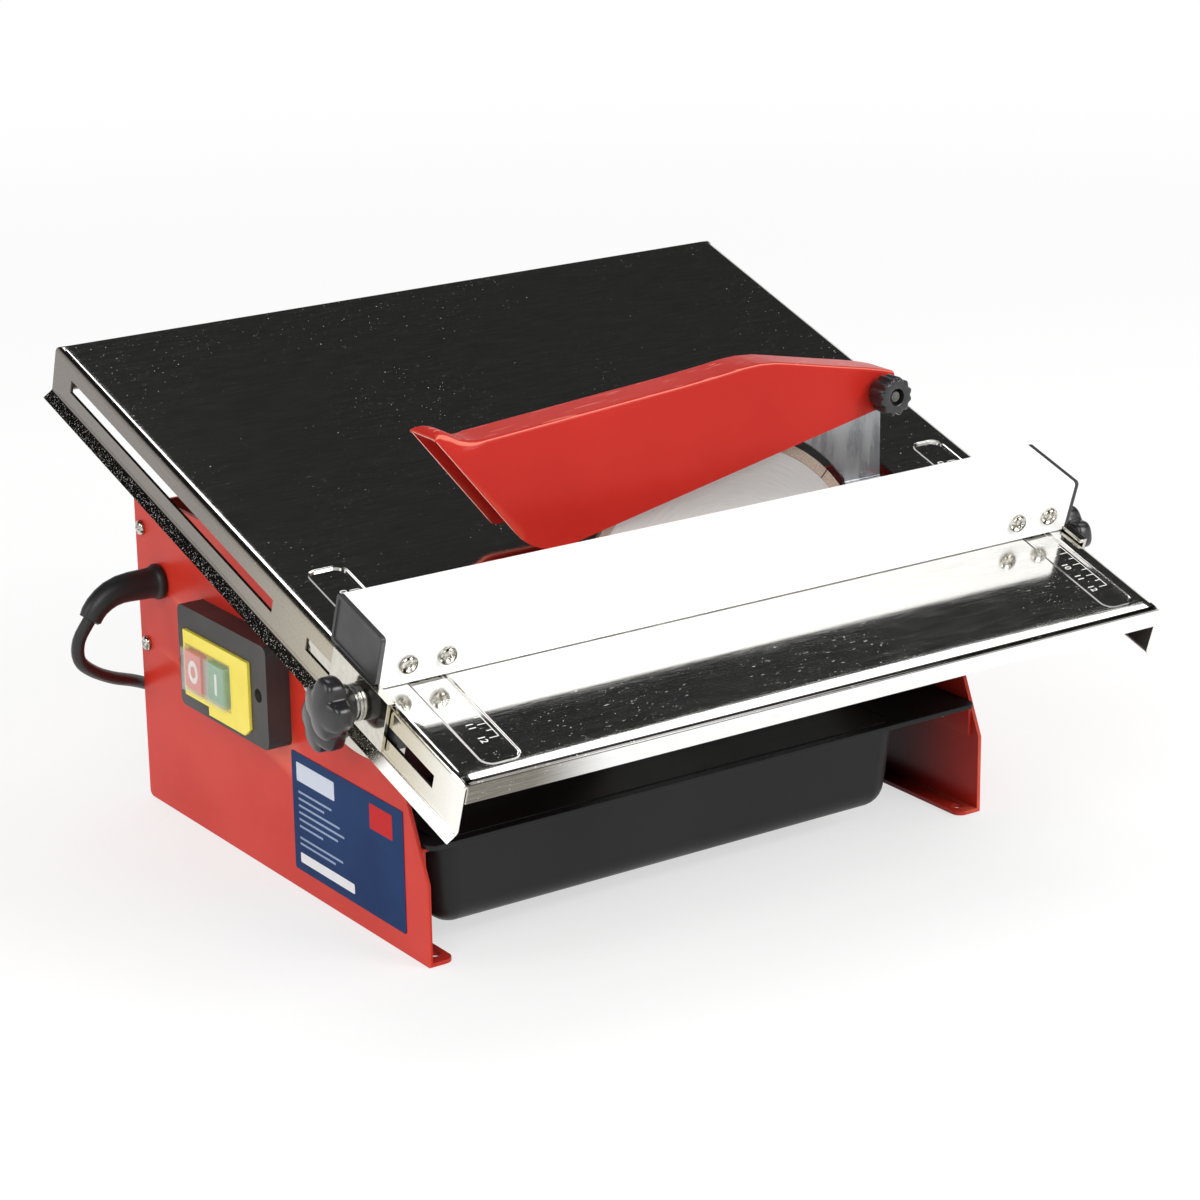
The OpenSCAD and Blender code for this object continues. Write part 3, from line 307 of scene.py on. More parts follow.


# Painted shade: on faces inside the side plates and in front of the rear panel, below the top, the enamel is
# darkened to a near-black red, less near the front edge.
PLATE_FRONT, PLATE_INSIDE, PANEL_BACK = -0.1008, 0.1622, 0.1676
red_enamel = enamel("red_enamel", (207, 52, 38), (199, 46, 34), (232, 100, 76), 0.75, 0.18)
coat = Tree(red_enamel.node_tree)
spot = coat.split(coat.place())
painted_shade_inside = coat.product(
    coat.calc("LESS_THAN", coat.calc("ABSOLUTE", spot["X"]), PLATE_INSIDE),
    coat.calc("LESS_THAN", spot["Y"], PANEL_BACK),
    coat.ramp(spot["Z"], 0.13, 0.145, 1, 0),
    coat.ramp(spot["Y"], PLATE_FRONT, PLATE_FRONT + 0.07, 0.25, 1),
)
painted_over(coat, painted_shade_inside, (50, 6, 9))


def mesh_of(piece):
    """A piece's mesh with its modifiers done."""
    bpy.context.view_layer.update()
    return bpy.data.meshes.new_from_object(piece.evaluated_get(bpy.context.evaluated_depsgraph_get()))


def settled(piece):
    """Turns a piece's modifiers into plain mesh."""
    mesh = mesh_of(piece)
    piece.modifiers.clear()
    piece.data = mesh
    return piece


def on_body(piece, body, slot, *nodes):
    """Puts a piece on a body and hides the solids it stands for; its slot is not used."""
    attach(piece, body)
    if nodes:
        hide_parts(*nodes)
    return piece


def eased(piece, width, steps=2, angle=32):
    """Rounds a piece's sharp edges and keeps its flats flat."""
    edge = piece.modifiers.new("eased_edges", "BEVEL")
    edge.width = width
    edge.segments = steps
    edge.limit_method = "ANGLE"
    edge.angle_limit = math.radians(angle)
    flats = piece.modifiers.new("true_flats", "WEIGHTED_NORMAL")
    flats.weight = 80
    return settled(piece)


def dressed(node, material, slot, width=0.0003, steps=2, angle=32):
    """A merged copy of a solid with eased edges and a finish, in the solid's place."""
    solid = frame["nodes"][node]
    shape = bmesh.new()
    shape.from_mesh(solid.data)
    bmesh.ops.remove_doubles(shape, verts=shape.verts, dist=2e-6)
    bmesh.ops.dissolve_limit(shape, angle_limit=math.radians(0.6), verts=shape.verts, edges=shape.edges)
    piece = eased(piece_of(node + "_finished", shape, material, angle), width, steps, angle)
    return on_body(piece, solid["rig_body"], slot, node)


for node in ("left_side_plate", "right_side_plate"):
    dressed(node, red_enamel, "red_paint", 0.0004)

# ---- rear panel, motor plate, knife bracket, tray rails
# Folded sheet parts in the same enamel. The louvred rear panel and the motor
# plate tie the side plates together; the rails are screwed to them.
for node in ("rear_panel", "motor_plate", "knife_bracket", "tray_rails"):
    dressed(node, red_enamel, "red_paint")

# ---- motor
# Induction motor in die-cast bells round a stack of steel laminations, tied by
# four bolts to the motor plate, with its run capacitor clipped beside it.

# Skin of drawn, ground or brushed metal: streaks along one direction, and
# uneven gloss.
brushed, given = new_skin(
    "brushed_skin", Color=("Light", "Dark"), Vector=("Streak",), Float=("Rough", "Rough Spread"),
)
place = brushed.place()
streak = brushed.noise(place, 1, 3, given["Streak"], Roughness=0.6)
line = brushed.ramp(streak, 0.34, 0.66)
both = brushed.calc("SUBTRACT", brushed.calc("ADD", line, brushed.noise(place, 16, 3)), 1)
close_skin(
    brushed,
    Tone=brushed.blend(line, given["Dark"], given["Light"]),
    Roughness=brushed.calc("MULTIPLY_ADD", both, given["Rough Spread"], given["Rough"]),
    Height=streak,
)


def metal(name, light, dark, rough, streak, spread=0.08, relief=0.06, depth=0.00003, metallic=1):
    return skinned(name, brushed, dict(
        Light=screen(*light), Dark=screen(*dark), Streak=streak, Rough=rough, Rough_Spread=spread,
    ), relief, depth, Metallic=metallic)


casting = metal("die_cast_aluminium", (186, 187, 190), (160, 161, 164), 0.5, (500, 500, 500), 0.15, 0.3, 1e-4)
lamination = metal("laminated_steel", (120, 118, 116), (70, 69, 68), 0.5, (60, 2600, 60), 0.15, 0.5, 0.0001)
copper = metal("enamelled_copper", (196, 116, 64), (120, 62, 34), 0.35, (900, 900, 900), 0.1, 0.7, 0.0002)
bright_steel = metal("bright_plated_steel", (228, 225, 216), (132, 127, 116), 0.14, (620, 620, 620), 0.06)
dull_steel = metal("dull_steel", (120, 118, 114), (84, 82, 79), 0.42, (300, 300, 300))
zinc = metal("zinc_plated_steel", (214, 214, 210), (178, 178, 176), 0.26, (160, 160, 160), 0.12)
black_moulding = plastic("black_moulding", (44, 44, 45), (36, 36, 37), 0.42)
white_can = plastic("white_can", (226, 225, 220), (212, 211, 205), 0.4)

# Solids that stay as they are get only a finish.
for nodes, material in (
    (("motor_front_bell", "motor_rear_bell"), casting),
    (("stator_core", "rotor_core"), lamination),
    (("stator_windings",), copper),
    (("motor_bearings", "motor_tie_bolts", "motor_shaft", "tray_screws"), bright_steel),
    (("guard_bolt",), dull_steel),
    (("capacitor_clip", "guard_spacers"), zinc),
    (("fan_cowl", "cooling_fan", "switch_body", "clamp_blocks"), black_moulding),
    (("run_capacitor",), white_can),
):
    for node in nodes:
        for slot in frame["nodes"][node].material_slots:
            slot.material = material

# ---- spindle and blade
# The motor shaft carries the blade between two turned flanges under a hexagon
# nut. The blade is a ground steel disc with a sintered diamond rim.
BLADE_LINE = -0.050297
AXIS_X, AXIS_Z = 0.039, 0.1144
BLADE_R, RIM_DEPTH = 0.09, 0.0051
dressed("blade_flanges", zinc, "zinc_steel", 0.0004)
dressed("arbor_nut", bright_steel, "screw_steel", 0.0004)

blade_steel = bpy.data.materials.new("ground_blade_steel")
turned = emptied(blade_steel)
place = turned.place()
centred = {"Vector": place, "Location": (-AXIS_X, 0, -AXIS_Z), "Scale": (1, 0, 1)}
centred = turned.first("ShaderNodeMapping", centred)
radius = turned.node("ShaderNodeVectorMath", {0: centred}, operation="LENGTH").outputs["Value"]
across = turned.split(centred)
angle = turned.calc("ARCTAN2", across["X"], across["Z"])
SEGMENTS = 9
phase = turned.calc("FRACT", turned.calc("MULTIPLY_ADD", angle, SEGMENTS / math.tau, 0.37))
joint = turned.ramp(turned.calc("ABSOLUTE", turned.calc("SUBTRACT", phase, 0.5)), 0.004, 0.011, 1, 0)
rim = turned.ramp(radius, BLADE_R - RIM_DEPTH - 0.0003, BLADE_R - RIM_DEPTH + 0.0001)
ground = turned.noise(turned.vector(turned.product(radius, 2600), turned.product(angle, 3)), 1, 3)
grit = turned.noise(place, 2400, 2)
steel_tone = turned.blend(turned.ramp(ground, 0.3, 0.7), screen(203, 204, 202), screen(214, 214, 211))
rim_tone = turned.blend(turned.ramp(grit, 0.35, 0.65), screen(150, 132, 118), screen(186, 170, 156))
rim_tone = turned.blend(joint, rim_tone, screen(60, 52, 48))
relief = turned.calc("ADD", turned.product(ground, 0.05), turned.product(grit, rim, 0.9))
close_material(turned, {
    "Base Color": turned.blend(rim, steel_tone, rim_tone),
    "Metallic": turned.value(rim, 0.55, 0.15),
    "Roughness": turned.value(rim, 0.42, 0.7),
    "Normal": turned.first("ShaderNodeBump", {"Strength": 0.35, "Distance": 0.00012, "Height": relief}),
})
dressed("cutting_blade", blade_steel, "blade_steel", 0.0002, angle=40)

# ---- riving knife
# A 2 mm stainless fin behind the blade, folded forward at the bottom and held
# by two screws; the guard hinges on its tip.
knife_steel = metal("stainless_knife", (172, 174, 176), (134, 137, 141), 0.3, (110, 110, 26), 0.12, 0.04)
dressed("riving_knife", knife_steel, "stainless", 0.00035)
dressed("knife_screws", bright_steel, "screw_steel")

# ---- blade guard
# One pressing of 1.4 mm steel sheet: two walls joined by a top with rounded
# bends, curled up at the nose, enamelled red and hinged on the knife's tip.
HINGE = Vector((0.1275, BLADE_LINE, 0.2153))
HINGE_HOLE_R = 0.0026

# In mm: half the width and the sheet, the lowest that the rear wall reaches
# in front, clear of the table, and the bends' radius, which grows at the nose.
GUARD_HALF, GUARD_T = 11, 1.4
REAR_FOOT = 181.4
WALL_BEND, NOSE_BEND = 1.9, 8
NOSE_FROM, NOSE_RUN = -100, 14
GUARD_TOP = [
    (-127.4, 233.8), (-126.2, 235.2), (-124.6, 236.2), (-122.4, 236.6), (-119, 235.4), (-115, 233.1),
    (-111.5, 231), (-108, 229.6), (-103, 229.2), (-92, 229.9), (-60, 232.1), (-30, 234.2), (11, 237),
    (34, 239), (45, 240.2), (54, 240.6), (65, 239.7), (81, 236.4), (103, 231.8), (120, 228.4), (129, 226.3),
    (136.4, 224.2),
]
GUARD_FOOT = [
    (-127.4, 233.8), (-85.1, 182.1), (-81.6, 178.4), (-76.9, 175), (-71.7, 172.7), (-66.2, 171.3),
    (-60.5, 170.9), (-56, 171.4), (60, 193.8), (124, 206.2), (129, 206.6), (133, 208.2), (135.4, 210.6),
    (136.4, 214.8),
]


def between(line, x):
    """Height of a line of points at x."""
    for (x1, z1), (x2, z2) in zip(line, line[1:]):
        if x <= x2:
            return z1 + (z2 - z1) * (x - x1) / (x2 - x1)
    return line[-1][1]


def smooth_line(line, x, reach=2.2):
    """The same, eased over a short reach on both sides."""
    low, high = line[0][0], line[-1][0]
    reach = max(0, min(reach, x - low, high - x))
    return sum(between(line, x + reach * k / 3) for k in range(-3, 4)) / 7


stations = sorted({x for x, _ in GUARD_TOP + GUARD_FOOT} | set(range(-88, 121, 8)) | {
    -126.9, -126.5, -125.4, -123.5, -121, -117, -113, -105.5, -100, -97, 131.2, 134.4, 136,
})
BEND_STEPS, WALL_STEPS = 7, 5
shape = bmesh.new()
rows = []
for x in stations:
    top, foot = smooth_line(GUARD_TOP, x), between(GUARD_FOOT, x)
    rear_foot = max(foot, REAR_FOOT) if x < 0 else foot
    nose = min(1, max(0, (NOSE_FROM - x) / NOSE_RUN))
    row = []
    for hand, low in ((-1, foot), (1, min(rear_foot, top - 0.02))):
        bend = min(WALL_BEND + (NOSE_BEND - WALL_BEND) * nose, max(0.02, 0.8 * (top - max(foot, low))))
        wall = [(hand * GUARD_HALF, low + (top - bend - low) * k / WALL_STEPS) for k in range(WALL_STEPS)]
        turns = (math.pi / 2 * k / BEND_STEPS for k in range(BEND_STEPS + 1))
        side, crest = GUARD_HALF - bend, top - bend
        arc = [(hand * (side + bend * math.cos(a)), crest + bend * math.sin(a)) for a in turns]
        row += (wall + arc)[::-hand]
    rows.append([shape.verts.new((x / 1000, BLADE_LINE + y / 1000, z / 1000)) for y, z in row])
for near, far in zip(rows, rows[1:]):
    for corners in zip(near, far, far[1:], near[1:]):
        shape.faces.new(corners)
bmesh.ops.remove_doubles(shape, verts=shape.verts, dist=1e-6)
bmesh.ops.dissolve_degenerate(shape, dist=1e-6, edges=shape.edges)
bmesh.ops.recalc_face_normals(shape, faces=shape.faces)
if sum(f.normal.z * f.calc_area() for f in shape.faces) < 0:
    bmesh.ops.reverse_faces(shape, faces=shape.faces)

# Painted highlight: the enamel is paler in a thin line along the bends. It is also paler on the cut edges and
# in short worn scuffs on the top.
guard_enamel = enamel("guard_enamel", (180, 41, 32), (173, 37, 29), (228, 108, 82), 0.2, 0.1)
coat = Tree(guard_enamel.node_tree)
facing = coat.split(coat.node("ShaderNodeTexCoord").outputs["Normal"])
aside = coat.calc("ABSOLUTE", facing["Y"])
# Painted highlight along the rounded bends.
painted_bend_highlight = coat.product(coat.ramp(aside, 0.5, 0.6), coat.ramp(aside, 0.76, 0.86, 1, 0))
painted_bend_highlight = coat.product(painted_bend_highlight, coat.ramp(facing["Z"], 0.1, 0.3, 0, 0.8))
cut_edge = coat.product(coat.ramp(aside, 0.3, 0.5, 0.9, 0), coat.calc("LESS_THAN", facing["Z"], 0.3))
scuffs = coat.ramp(coat.noise(coat.place(), 1, 1, (32, 700, 700)), 0.67, 0.71, 0, 0.7)
scuffs = coat.product(scuffs, coat.ramp(facing["Z"], 0.7, 0.8))
painted_highlight_and_scuffs = coat.calc("MAXIMUM", coat.calc("MAXIMUM", painted_bend_highlight, cut_edge), scuffs)
painted_over(coat, painted_highlight_and_scuffs, (222, 124, 106))
guard = piece_of("blade_guard_pressing", shape, guard_enamel, 50)
skin = guard.modifiers.new("sheet", "SOLIDIFY")
skin.thickness = GUARD_T / 1000
skin.offset = -1
skin.use_even_offset = True
settled(guard)
cut = bmesh.new()
bmesh.ops.create_cone(
    cut, cap_ends=True, segments=32, radius1=HINGE_HOLE_R, radius2=HINGE_HOLE_R, depth=0.05,
)
cut.transform(Matrix.Translation(HINGE) @ Matrix.Rotation(math.pi / 2, 4, "X"))


def carved(piece, cutter_shape):
    """Cuts a shape out of a piece."""
    cutter = piece_of("cutter", cutter_shape, piece.data.materials[0])
    cutting = piece.modifiers.new("cut", "BOOLEAN")
    cutting.operation = "DIFFERENCE"
    cutting.solver = "EXACT"
    cutting.object = cutter
    settled(piece)
    bpy.data.objects.remove(cutter)


carved(guard, cut)
eased(guard, 0.00045, 2, 50)
on_body(guard, "guard", "red_paint", "blade_guard")

# ---- knobs
# Moulded black clamping knobs: a scalloped one on the guard's bolt, and four
# star knobs with four wide lobes that lock the tilt and the fence.
knob_black = plastic(
    "knob_black_moulding", (34, 34, 36), (28, 28, 30), 0.3, 60, 900, relief=0.08, Coat_Weight=0.25,
    Coat_Roughness=0.2,
)


def lofted(rings, shape=None, closed=False):
    """Skin over rings of points; its ends get faces, or a closed one runs back to its first ring."""
    if shape is None:
        shape = bmesh.new()
    rings = [[shape.verts.new(place) for place in ring] for ring in rings]
    if closed:
        rings.append(rings[0])
    else:
        shape.faces.new(rings[0][::-1])
        shape.faces.new(rings[-1])
    for near, far in zip(rings, rings[1:]):
        for corners in zip(near, near[1:] + near[:1], far[1:] + far[:1], far):
            shape.faces.new(corners)
    bmesh.ops.recalc_face_normals(shape, faces=shape.faces)
    return shape


def knob_shape(rings, lobes, notch_width, segments=96):
    """Turned shape along +Z, in mm; a ring is (height, radius, notch depth)."""
    pitch = math.tau / lobes
    made = []
    for height, radius, depth in rings:
        ring = []
        for k in range(segments):
            angle = math.tau * k / segments
            off = (angle + pitch / 2) % pitch - pitch / 2
            r = radius - depth * math.exp(-0.5 * (off / notch_width) ** 2)
            ring.append((r * math.cos(angle) / 1000, r * math.sin(angle) / 1000, height / 1000))
        made.append(ring)
    return lofted(made)


def along(origin, axis):
    """Place of a shape made along +Z."""
    return Matrix.Translation(origin) @ Vector(axis).to_track_quat("Z", "Y").to_matrix().to_4x4()


SCALLOPED = [
    (0.1, 6.4, 0), (0.3, 7, 0), (2.2, 7, 0), (2.4, 8.6, 0.7), (2.9, 9.4, 1.1), (3.7, 9.8, 1.3),
    (12, 9.8, 1.3), (12.9, 9.5, 1.2), (13.4, 8.9, 0.9), (13.6, 8.2, 0.5), (13.6, 4.7, 0), (13.3, 4.2, 0),
    (8.2, 4.1, 0), (8.2, 2.6, 0),
]
shape = knob_shape(SCALLOPED, 12, 0.11, 144)
shape.transform(along(HINGE - Vector((0, GUARD_HALF / 1000, 0)), (0, -1, 0)))
on_body(piece_of("guard_knob_moulding", shape, knob_black, 55), "guard_knob", "knob_black", "guard_knob")

# The table stands tilted about the line where the blade meets its face.
TABLE_TILT = math.radians(17.75)
TABLE_PIVOT = Vector((0, BLADE_LINE, 0.169))
FRONT_EDGE = 0.147
tilted = Matrix.Translation(TABLE_PIVOT) @ Matrix.Rotation(TABLE_TILT, 4, "X")


def on_table(x, from_edge, height):
    """Point given along the table, back from its front edge and up from its face, in mm."""
    return tilted @ Vector((x / 1000, from_edge / 1000 - FRONT_EDGE, height / 1000))


STAR = [
    (0, 8.2, 0), (0.5, 8.9, 0), (1, 9, 0), (4.6, 9, 0), (4.9, 9.4, 0.2), (5, 11.4, 1.6), (5.3, 13, 2.9),
    (6, 14, 3.7), (7.2, 14.5, 4.1), (11.6, 14.5, 4.1), (12.8, 14.2, 3.9), (13.7, 13.4, 3.4),
    (14.4, 12.2, 2.6), (15, 10.6, 1.7), (15.6, 8.6, 0.9), (16.2, 6.2, 0.3), (16.7, 3.6, 0), (16.95, 1.2, 0),
]

# The tilt knobs sit on the lock studs, which run on an arc about that line.
LOCK_R, LOCK_ANGLE = 0.0675, math.radians(11)
lock_at = TABLE_PIVOT + LOCK_R * Vector((0, math.sin(LOCK_ANGLE), -math.cos(LOCK_ANGLE)))
for hand, name in ((-1, "left"), (1, "right")):
    for kind, place, roll in (
        ("tilt", Vector((hand * 0.1673, lock_at.y, lock_at.z)), 20),
        ("fence", on_table(hand * 202.9, 85, -13), 34),
    ):
        shape = knob_shape(STAR, 4, 0.2)
        shape.transform(along(place, (hand, 0, 0)) @ Matrix.Rotation(math.radians(roll), 4, "Z"))
        body = f"{name}_{kind}_knob"
        on_body(piece_of(body + "_moulding", shape, knob_black, 55), body, "knob_black", body)

# ---- water tray
# Deep tub moulded in black plastic; its rim rests on the rails between the
# side plates, below the blade.
tray_black = plastic(
    "tray_moulding", (30, 30, 31), (25, 25, 26), 0.42, 9, 1100, 0.1, 0.16, Specular_IOR_Level=0.25,
)
dressed("water_tray", tray_black, "black_plastic", 0.0007, 2, 40)

# ---- switch
# No-volt release switch: a dark grey moulded box screwed to the left plate, a
# yellow frame, a red and a green push button, and a clear splash membrane.
box_grey = plastic("switch_box_moulding", (58, 56, 55), (50, 48, 47), 0.45, 30, 1000, 0.1, 0.14)
frame_yellow = plastic("yellow_moulding", (244, 226, 84), (238, 218, 74), 0.32, 40, 900)
button_red = plastic("red_moulding", (226, 74, 44), (214, 62, 38), 0.34, 60, 900)
button_green = plastic("green_moulding", (36, 150, 88), (30, 136, 78), 0.34, 60, 900)
mark_white = plastic("white_print", (244, 244, 240), (234, 234, 230), 0.4, 80, 1500)
dressed("switch_box", box_grey, "grey_plastic", 0.0013, 3, 40)
dressed("switch_frame", frame_yellow, "yellow_plastic", 0.0007, 3, 30)
dressed("stop_button", button_red, "red_plastic", 0.0012, 3, 40)
dressed("start_button", button_green, "green_plastic", 0.0012, 3, 40)
clear = plastic(
    "clear_membrane", (236, 236, 230), (228, 228, 222), 0.16, 30, 300, 0.08, 0.1, 0.0004, Alpha=0.2,
    Coat_Weight=1, Coat_Roughness=0.08,
)
dressed("switch_membrane", clear, "clear_pvc", 0.0011, 3, 40)


def circle(radius, height, steps):
    """Points round the Z axis, in the same unit as the radius."""
    turns = (math.tau * k / steps for k in range(steps))
    return [(radius * math.cos(a), radius * math.sin(a), height) for a in turns]


# Printed marks on the buttons: a ring for off and a bar for on.
BUTTON_FACE_X, BUTTON_Z = -0.1788, 0.0934
ring = lofted([
    [(-lift, y, 1.25 * z) for y, z, _ in circle(radius, 0, 40)]
    for radius, lift in ((0.0025, 0), (0.0027, 0.00022), (0.0045, 0.00022), (0.0047, 0))
], closed=True)
bar = bmesh.new()
bmesh.ops.create_cube(bar, size=1, matrix=Matrix.Diagonal((0.00044, 0.0021, 0.0108, 1)))
bmesh.ops.bevel(bar, geom=bar.edges[:], offset=0.00015, segments=2, affect="EDGES")
for name, shape, y, body in (
    ("off_ring", ring, 0.1358, "stop_button"), ("on_bar", bar, 0.113, "start_button"),
):
    shape.transform(Matrix.Translation((BUTTON_FACE_X, BLADE_LINE + y, BUTTON_Z)))
    on_body(piece_of(name, shape, mark_white), body, "white_plastic")

# ---- label
# Printed film on the left plate, with nothing to read: a blue field, a pale
# panel, a red block, a white strip and rows of plain lines.
LABEL_X, PLATE_X = -0.1633, -0.16301
LABEL_LINES = ((31, 50), (24, 46.5), (38, 43), (42, 39.5), (36, 36), (22, 32.5), (40, 26.5), (33, 23.5))
LINES_END, LINE_H = 64, 1.1
LABEL_BLOCKS = {
    "label_field": ([((-31.5, 10), (69.5, 70.3))], 0, (22, 54, 100), (18, 48, 92)),
    "label_red_block": ([((-22, 53), (-2, 65.5))], 0.06, (196, 38, 40), (188, 34, 36)),
    "label_white_strip": ([((14, 14.5), (64, 19.5))], 0.06, (236, 237, 238), (226, 228, 230)),
    "label_pale_panel": ([((30, 56), (65, 65.5))], 0.06, (206, 214, 226), (198, 206, 220)),
    "label_lines": ([
        ((LINES_END - length, z), (LINES_END, z + LINE_H)) for length, z in LABEL_LINES
    ], 0.06, (148, 166, 194), (138, 156, 186)),
}


def rounded(low, high, corner, steps, grow=0):
    """Outline of a rectangle with round corners; grow widens it all round."""
    near, far = [end + corner for end in low], [end - corner for end in high]
    outline = []
    for quarter, (x, y) in enumerate((far, (near[0], far[1]), near, (far[0], near[1]))):
        for k in range(steps + 1):
            angle = math.pi / 2 * (quarter + k / steps)
            outline.append((x + (corner + grow) * math.cos(angle), y + (corner + grow) * math.sin(angle)))
    return outline


for name, (blocks, lift, tone, cloud) in LABEL_BLOCKS.items():
    shape = bmesh.new()
    for low, high in blocks:
        corner = min(1.4 if name == "label_field" else 0.7, (high[1] - low[1]) / 2.5)
        outline = rounded(low, high, corner, 6)
        faces = (LABEL_X - lift / 1000, PLATE_X)
        lofted([[(x, BLADE_LINE + y / 1000, z / 1000) for y, z in outline] for x in faces], shape)
    film = plastic(name + "_film", tone, cloud, 0.34, 24, 700, relief=0.06, Specular_IOR_Level=0.06)
    nodes = ("rating_label",) if name == "label_field" else ()
    on_body(piece_of(name, shape, film, 30), "chassis", "blue_label", *nodes)

# ---- mains cord
# Mains cord, 1.83 m long. It leaves the left plate through a tapered sleeve,
# drops behind the machine and lies wound in a coil with a strap.
CORD_R = 0.0033
COIL_AT = Vector((-0.04, 0.256603, 0))
SLEEVE_AT = Vector((0, 0.145903, 0))
cord_rubber = plastic("cord_rubber", (30, 30, 31), (24, 24, 25), 0.42, 50, 1600, relief=0.1)


def through(points, steps):
    """Smooth curve through points given in mm."""
    points = [Vector(p) / 1000 for p in points]
    end = len(points) - 1
    line = []
    for k in range(end):
        a, b, c, d = (points[max(0, min(end, k + n))] for n in (-1, 0, 1, 2))
        for step in range(steps):
            t = step / steps
            bend, twist = 2 * a - 5 * b + 4 * c - d, 3 * b - a - 3 * c + d
            line.append(0.5 * (2 * b + (c - a) * t + bend * t * t + twist * t * t * t))
    return line + [points[-1]]


ROUTE = [
    (-203, 0, 109), (-209, 1, 99), (-208, 4, 88), (-199, 9, 79), (-184, 17, 70), (-165, 28, 61),
    (-142, 40, 48), (-116, 52, 31), (-92, 60, 14), (-70, 65, 4.5), (-48, 66, 3.6),
]
PLUG_RUN = [
    (31.5, -13, 23.4), (38, -2, 23.4), (42.6, 10, 23.2), (44.7, 22, 20.5), (44.7, 34, 14.2), (44.7, 46, 9.2),
]
OUTER_R, INNER_R, PITCH = 0.0447, 0.0315, 0.0066
COIL_Z = 0.0035
TURN_POINTS = 30


def wound(turned):
    """Point of the winding after so many degrees: two turns in, two out, then in again on top."""
    if turned < 720:
        radius, height = OUTER_R - PITCH * turned / 360, 0
    elif turned < 790:
        radius, height = INNER_R, (turned - 720) / 70
    elif turned < 1510:
        radius, height = INNER_R + PITCH * (turned - 790) / 360, 1
    elif turned < 1580:
        radius, height = OUTER_R, 1 + (turned - 1510) / 70
    else:
        radius, height = OUTER_R - PITCH * (turned - 1580) / 360, 2 + max(0, (turned - 2127) / 80)
    step = height - math.floor(height)
    height = math.floor(height) + step * step * (3 - 2 * step)
    angle = math.radians(turned - 90)
    return COIL_AT + Vector((radius * math.cos(angle), radius * math.sin(angle), COIL_Z + PITCH * height))


centreline = [p + SLEEVE_AT for p in through(ROUTE, 4)]
LAST_TURNED = 2207
centreline += [wound(k * 360 / TURN_POINTS) for k in range(1, int(LAST_TURNED * TURN_POINTS / 360) + 1)]
last = (wound(LAST_TURNED) - COIL_AT) * 1000
centreline += [p + COIL_AT for p in through([tuple(last)] + PLUG_RUN, 4)]
sheath = bpy.data.curves.new("mains_cord_sheath", "CURVE")
sheath.dimensions = "3D"
spline = sheath.splines.new("POLY")
spline.points.add(len(centreline) - 1)
for point, place in zip(spline.points, centreline):
    point.co = (*place, 1)
spline.use_smooth = True
sheath.bevel_depth = CORD_R
sheath.bevel_resolution = 3
sheath.use_fill_caps = True
sheath.materials.append(cord_rubber)
cord = on_body(linked("mains_cord_sheath", sheath), "chassis", "cord_pvc", "mains_cord", "cord_coil")

# The moulded sleeve is a collar against the plate, then a long taper. Each
# ring has its x, its height and its radius in mm.
SLEEVE = [
    (-163.2, 121.5, 8.2), (-164, 121.5, 9), (-166.4, 121.5, 9), (-167.2, 121.5, 8.4), (-168.6, 121.5, 7.8),
    (-174, 121.6, 7.6), (-180, 121.7, 7.4), (-186, 121.3, 7.1), (-191, 119.9, 6.8), (-195, 117.8, 6.5),
    (-198.6, 115, 6.2), (-201, 112.2, 6), (-202.6, 109.2, 5.7), (-203, 108.7, 4.4),
]
line = [Vector((x, 0, z)) / 1000 + SLEEVE_AT for x, z, _ in SLEEVE]
rings = []
for k, (_, _, radius) in enumerate(SLEEVE):
    way = (line[min(k + 1, len(line) - 1)] - line[max(k - 1, 0)]).normalized()
    across = way.cross(Vector((0, 0.35, 1))).normalized()
    up = across.cross(way)
    rings.append([line[k] + across * x + up * y for x, y, _ in circle(radius / 1000, 0, 28)])
sleeve = piece_of("strain_relief_sleeve", lofted(rings), cord_rubber, 50)
on_body(sleeve, "chassis", "cord_pvc", "strain_relief")

# Strap round the coil, flat where it lies on the bench, and the plug.
strap_black = plastic("strap_nylon", (24, 24, 25), (40, 40, 42), 0.75, 900, 1800, relief=0.5)
STRAP_HALF_W, STRAP_T, STRAP_CORNER = 0.006, 0.0009, 0.0032
STRAP_LOW = (INNER_R - CORD_R - 0.0002, 0.00015 + STRAP_T * 0.05)
STRAP_HIGH = (OUTER_R + CORD_R + 0.0002, 0.0203)
loops = []
for grow, edge, bench in ((0, -1, 0.00016), (0, 1, 0.00016), (STRAP_T, 1, 0.0001), (STRAP_T, -1, 0.0001)):
    outline = rounded(STRAP_LOW, STRAP_HIGH, STRAP_CORNER, 6, grow)
    loops.append([(r, edge * STRAP_HALF_W, max(bench, z)) for r, z in outline])
shape = lofted(loops, closed=True)
shape.transform(Matrix.Translation(COIL_AT) @ Matrix.Rotation(math.radians(152), 4, "Z"))
on_body(eased(piece_of("coil_strap", shape, strap_black), 0.0002), "chassis", "cord_pvc")
plug_black = plastic("plug_moulding", (32, 32, 33), (27, 27, 28), 0.38, 40, 1200)
brass_pin = metal("brass_pin", (212, 178, 108), (184, 150, 86), 0.25, (200, 200, 200))
plug = dressed("mains_plug", plug_black, "cord_pvc", 0.0012, 3, 40)
plug.data.materials.append(brass_pin)
PIN_FOOT_Z = 0.0183
for face in plug.data.polygons:
    if min(plug.data.vertices[v].co.z for v in face.vertices) > PIN_FOOT_Z - 0.0002 and face.area < 0.0002:
        face.material_index = 1

# ---- tilt lock
# Zinc-plated quadrants under the table turn with it round the blade's top
# line; a guide stud and a clamped lock stud run in their arc tracks.
polished = metal("polished_stainless", (216, 212, 202), (206, 202, 192), 0.1, (14, 300, 300), 0.04, 0.015)
for node in ("left_quadrant", "right_quadrant"):
    dressed(node, polished, "stainless")
for node in ("guide_studs", "tilt_studs", "tilt_washers"):
    dressed(node, zinc, "zinc_steel")

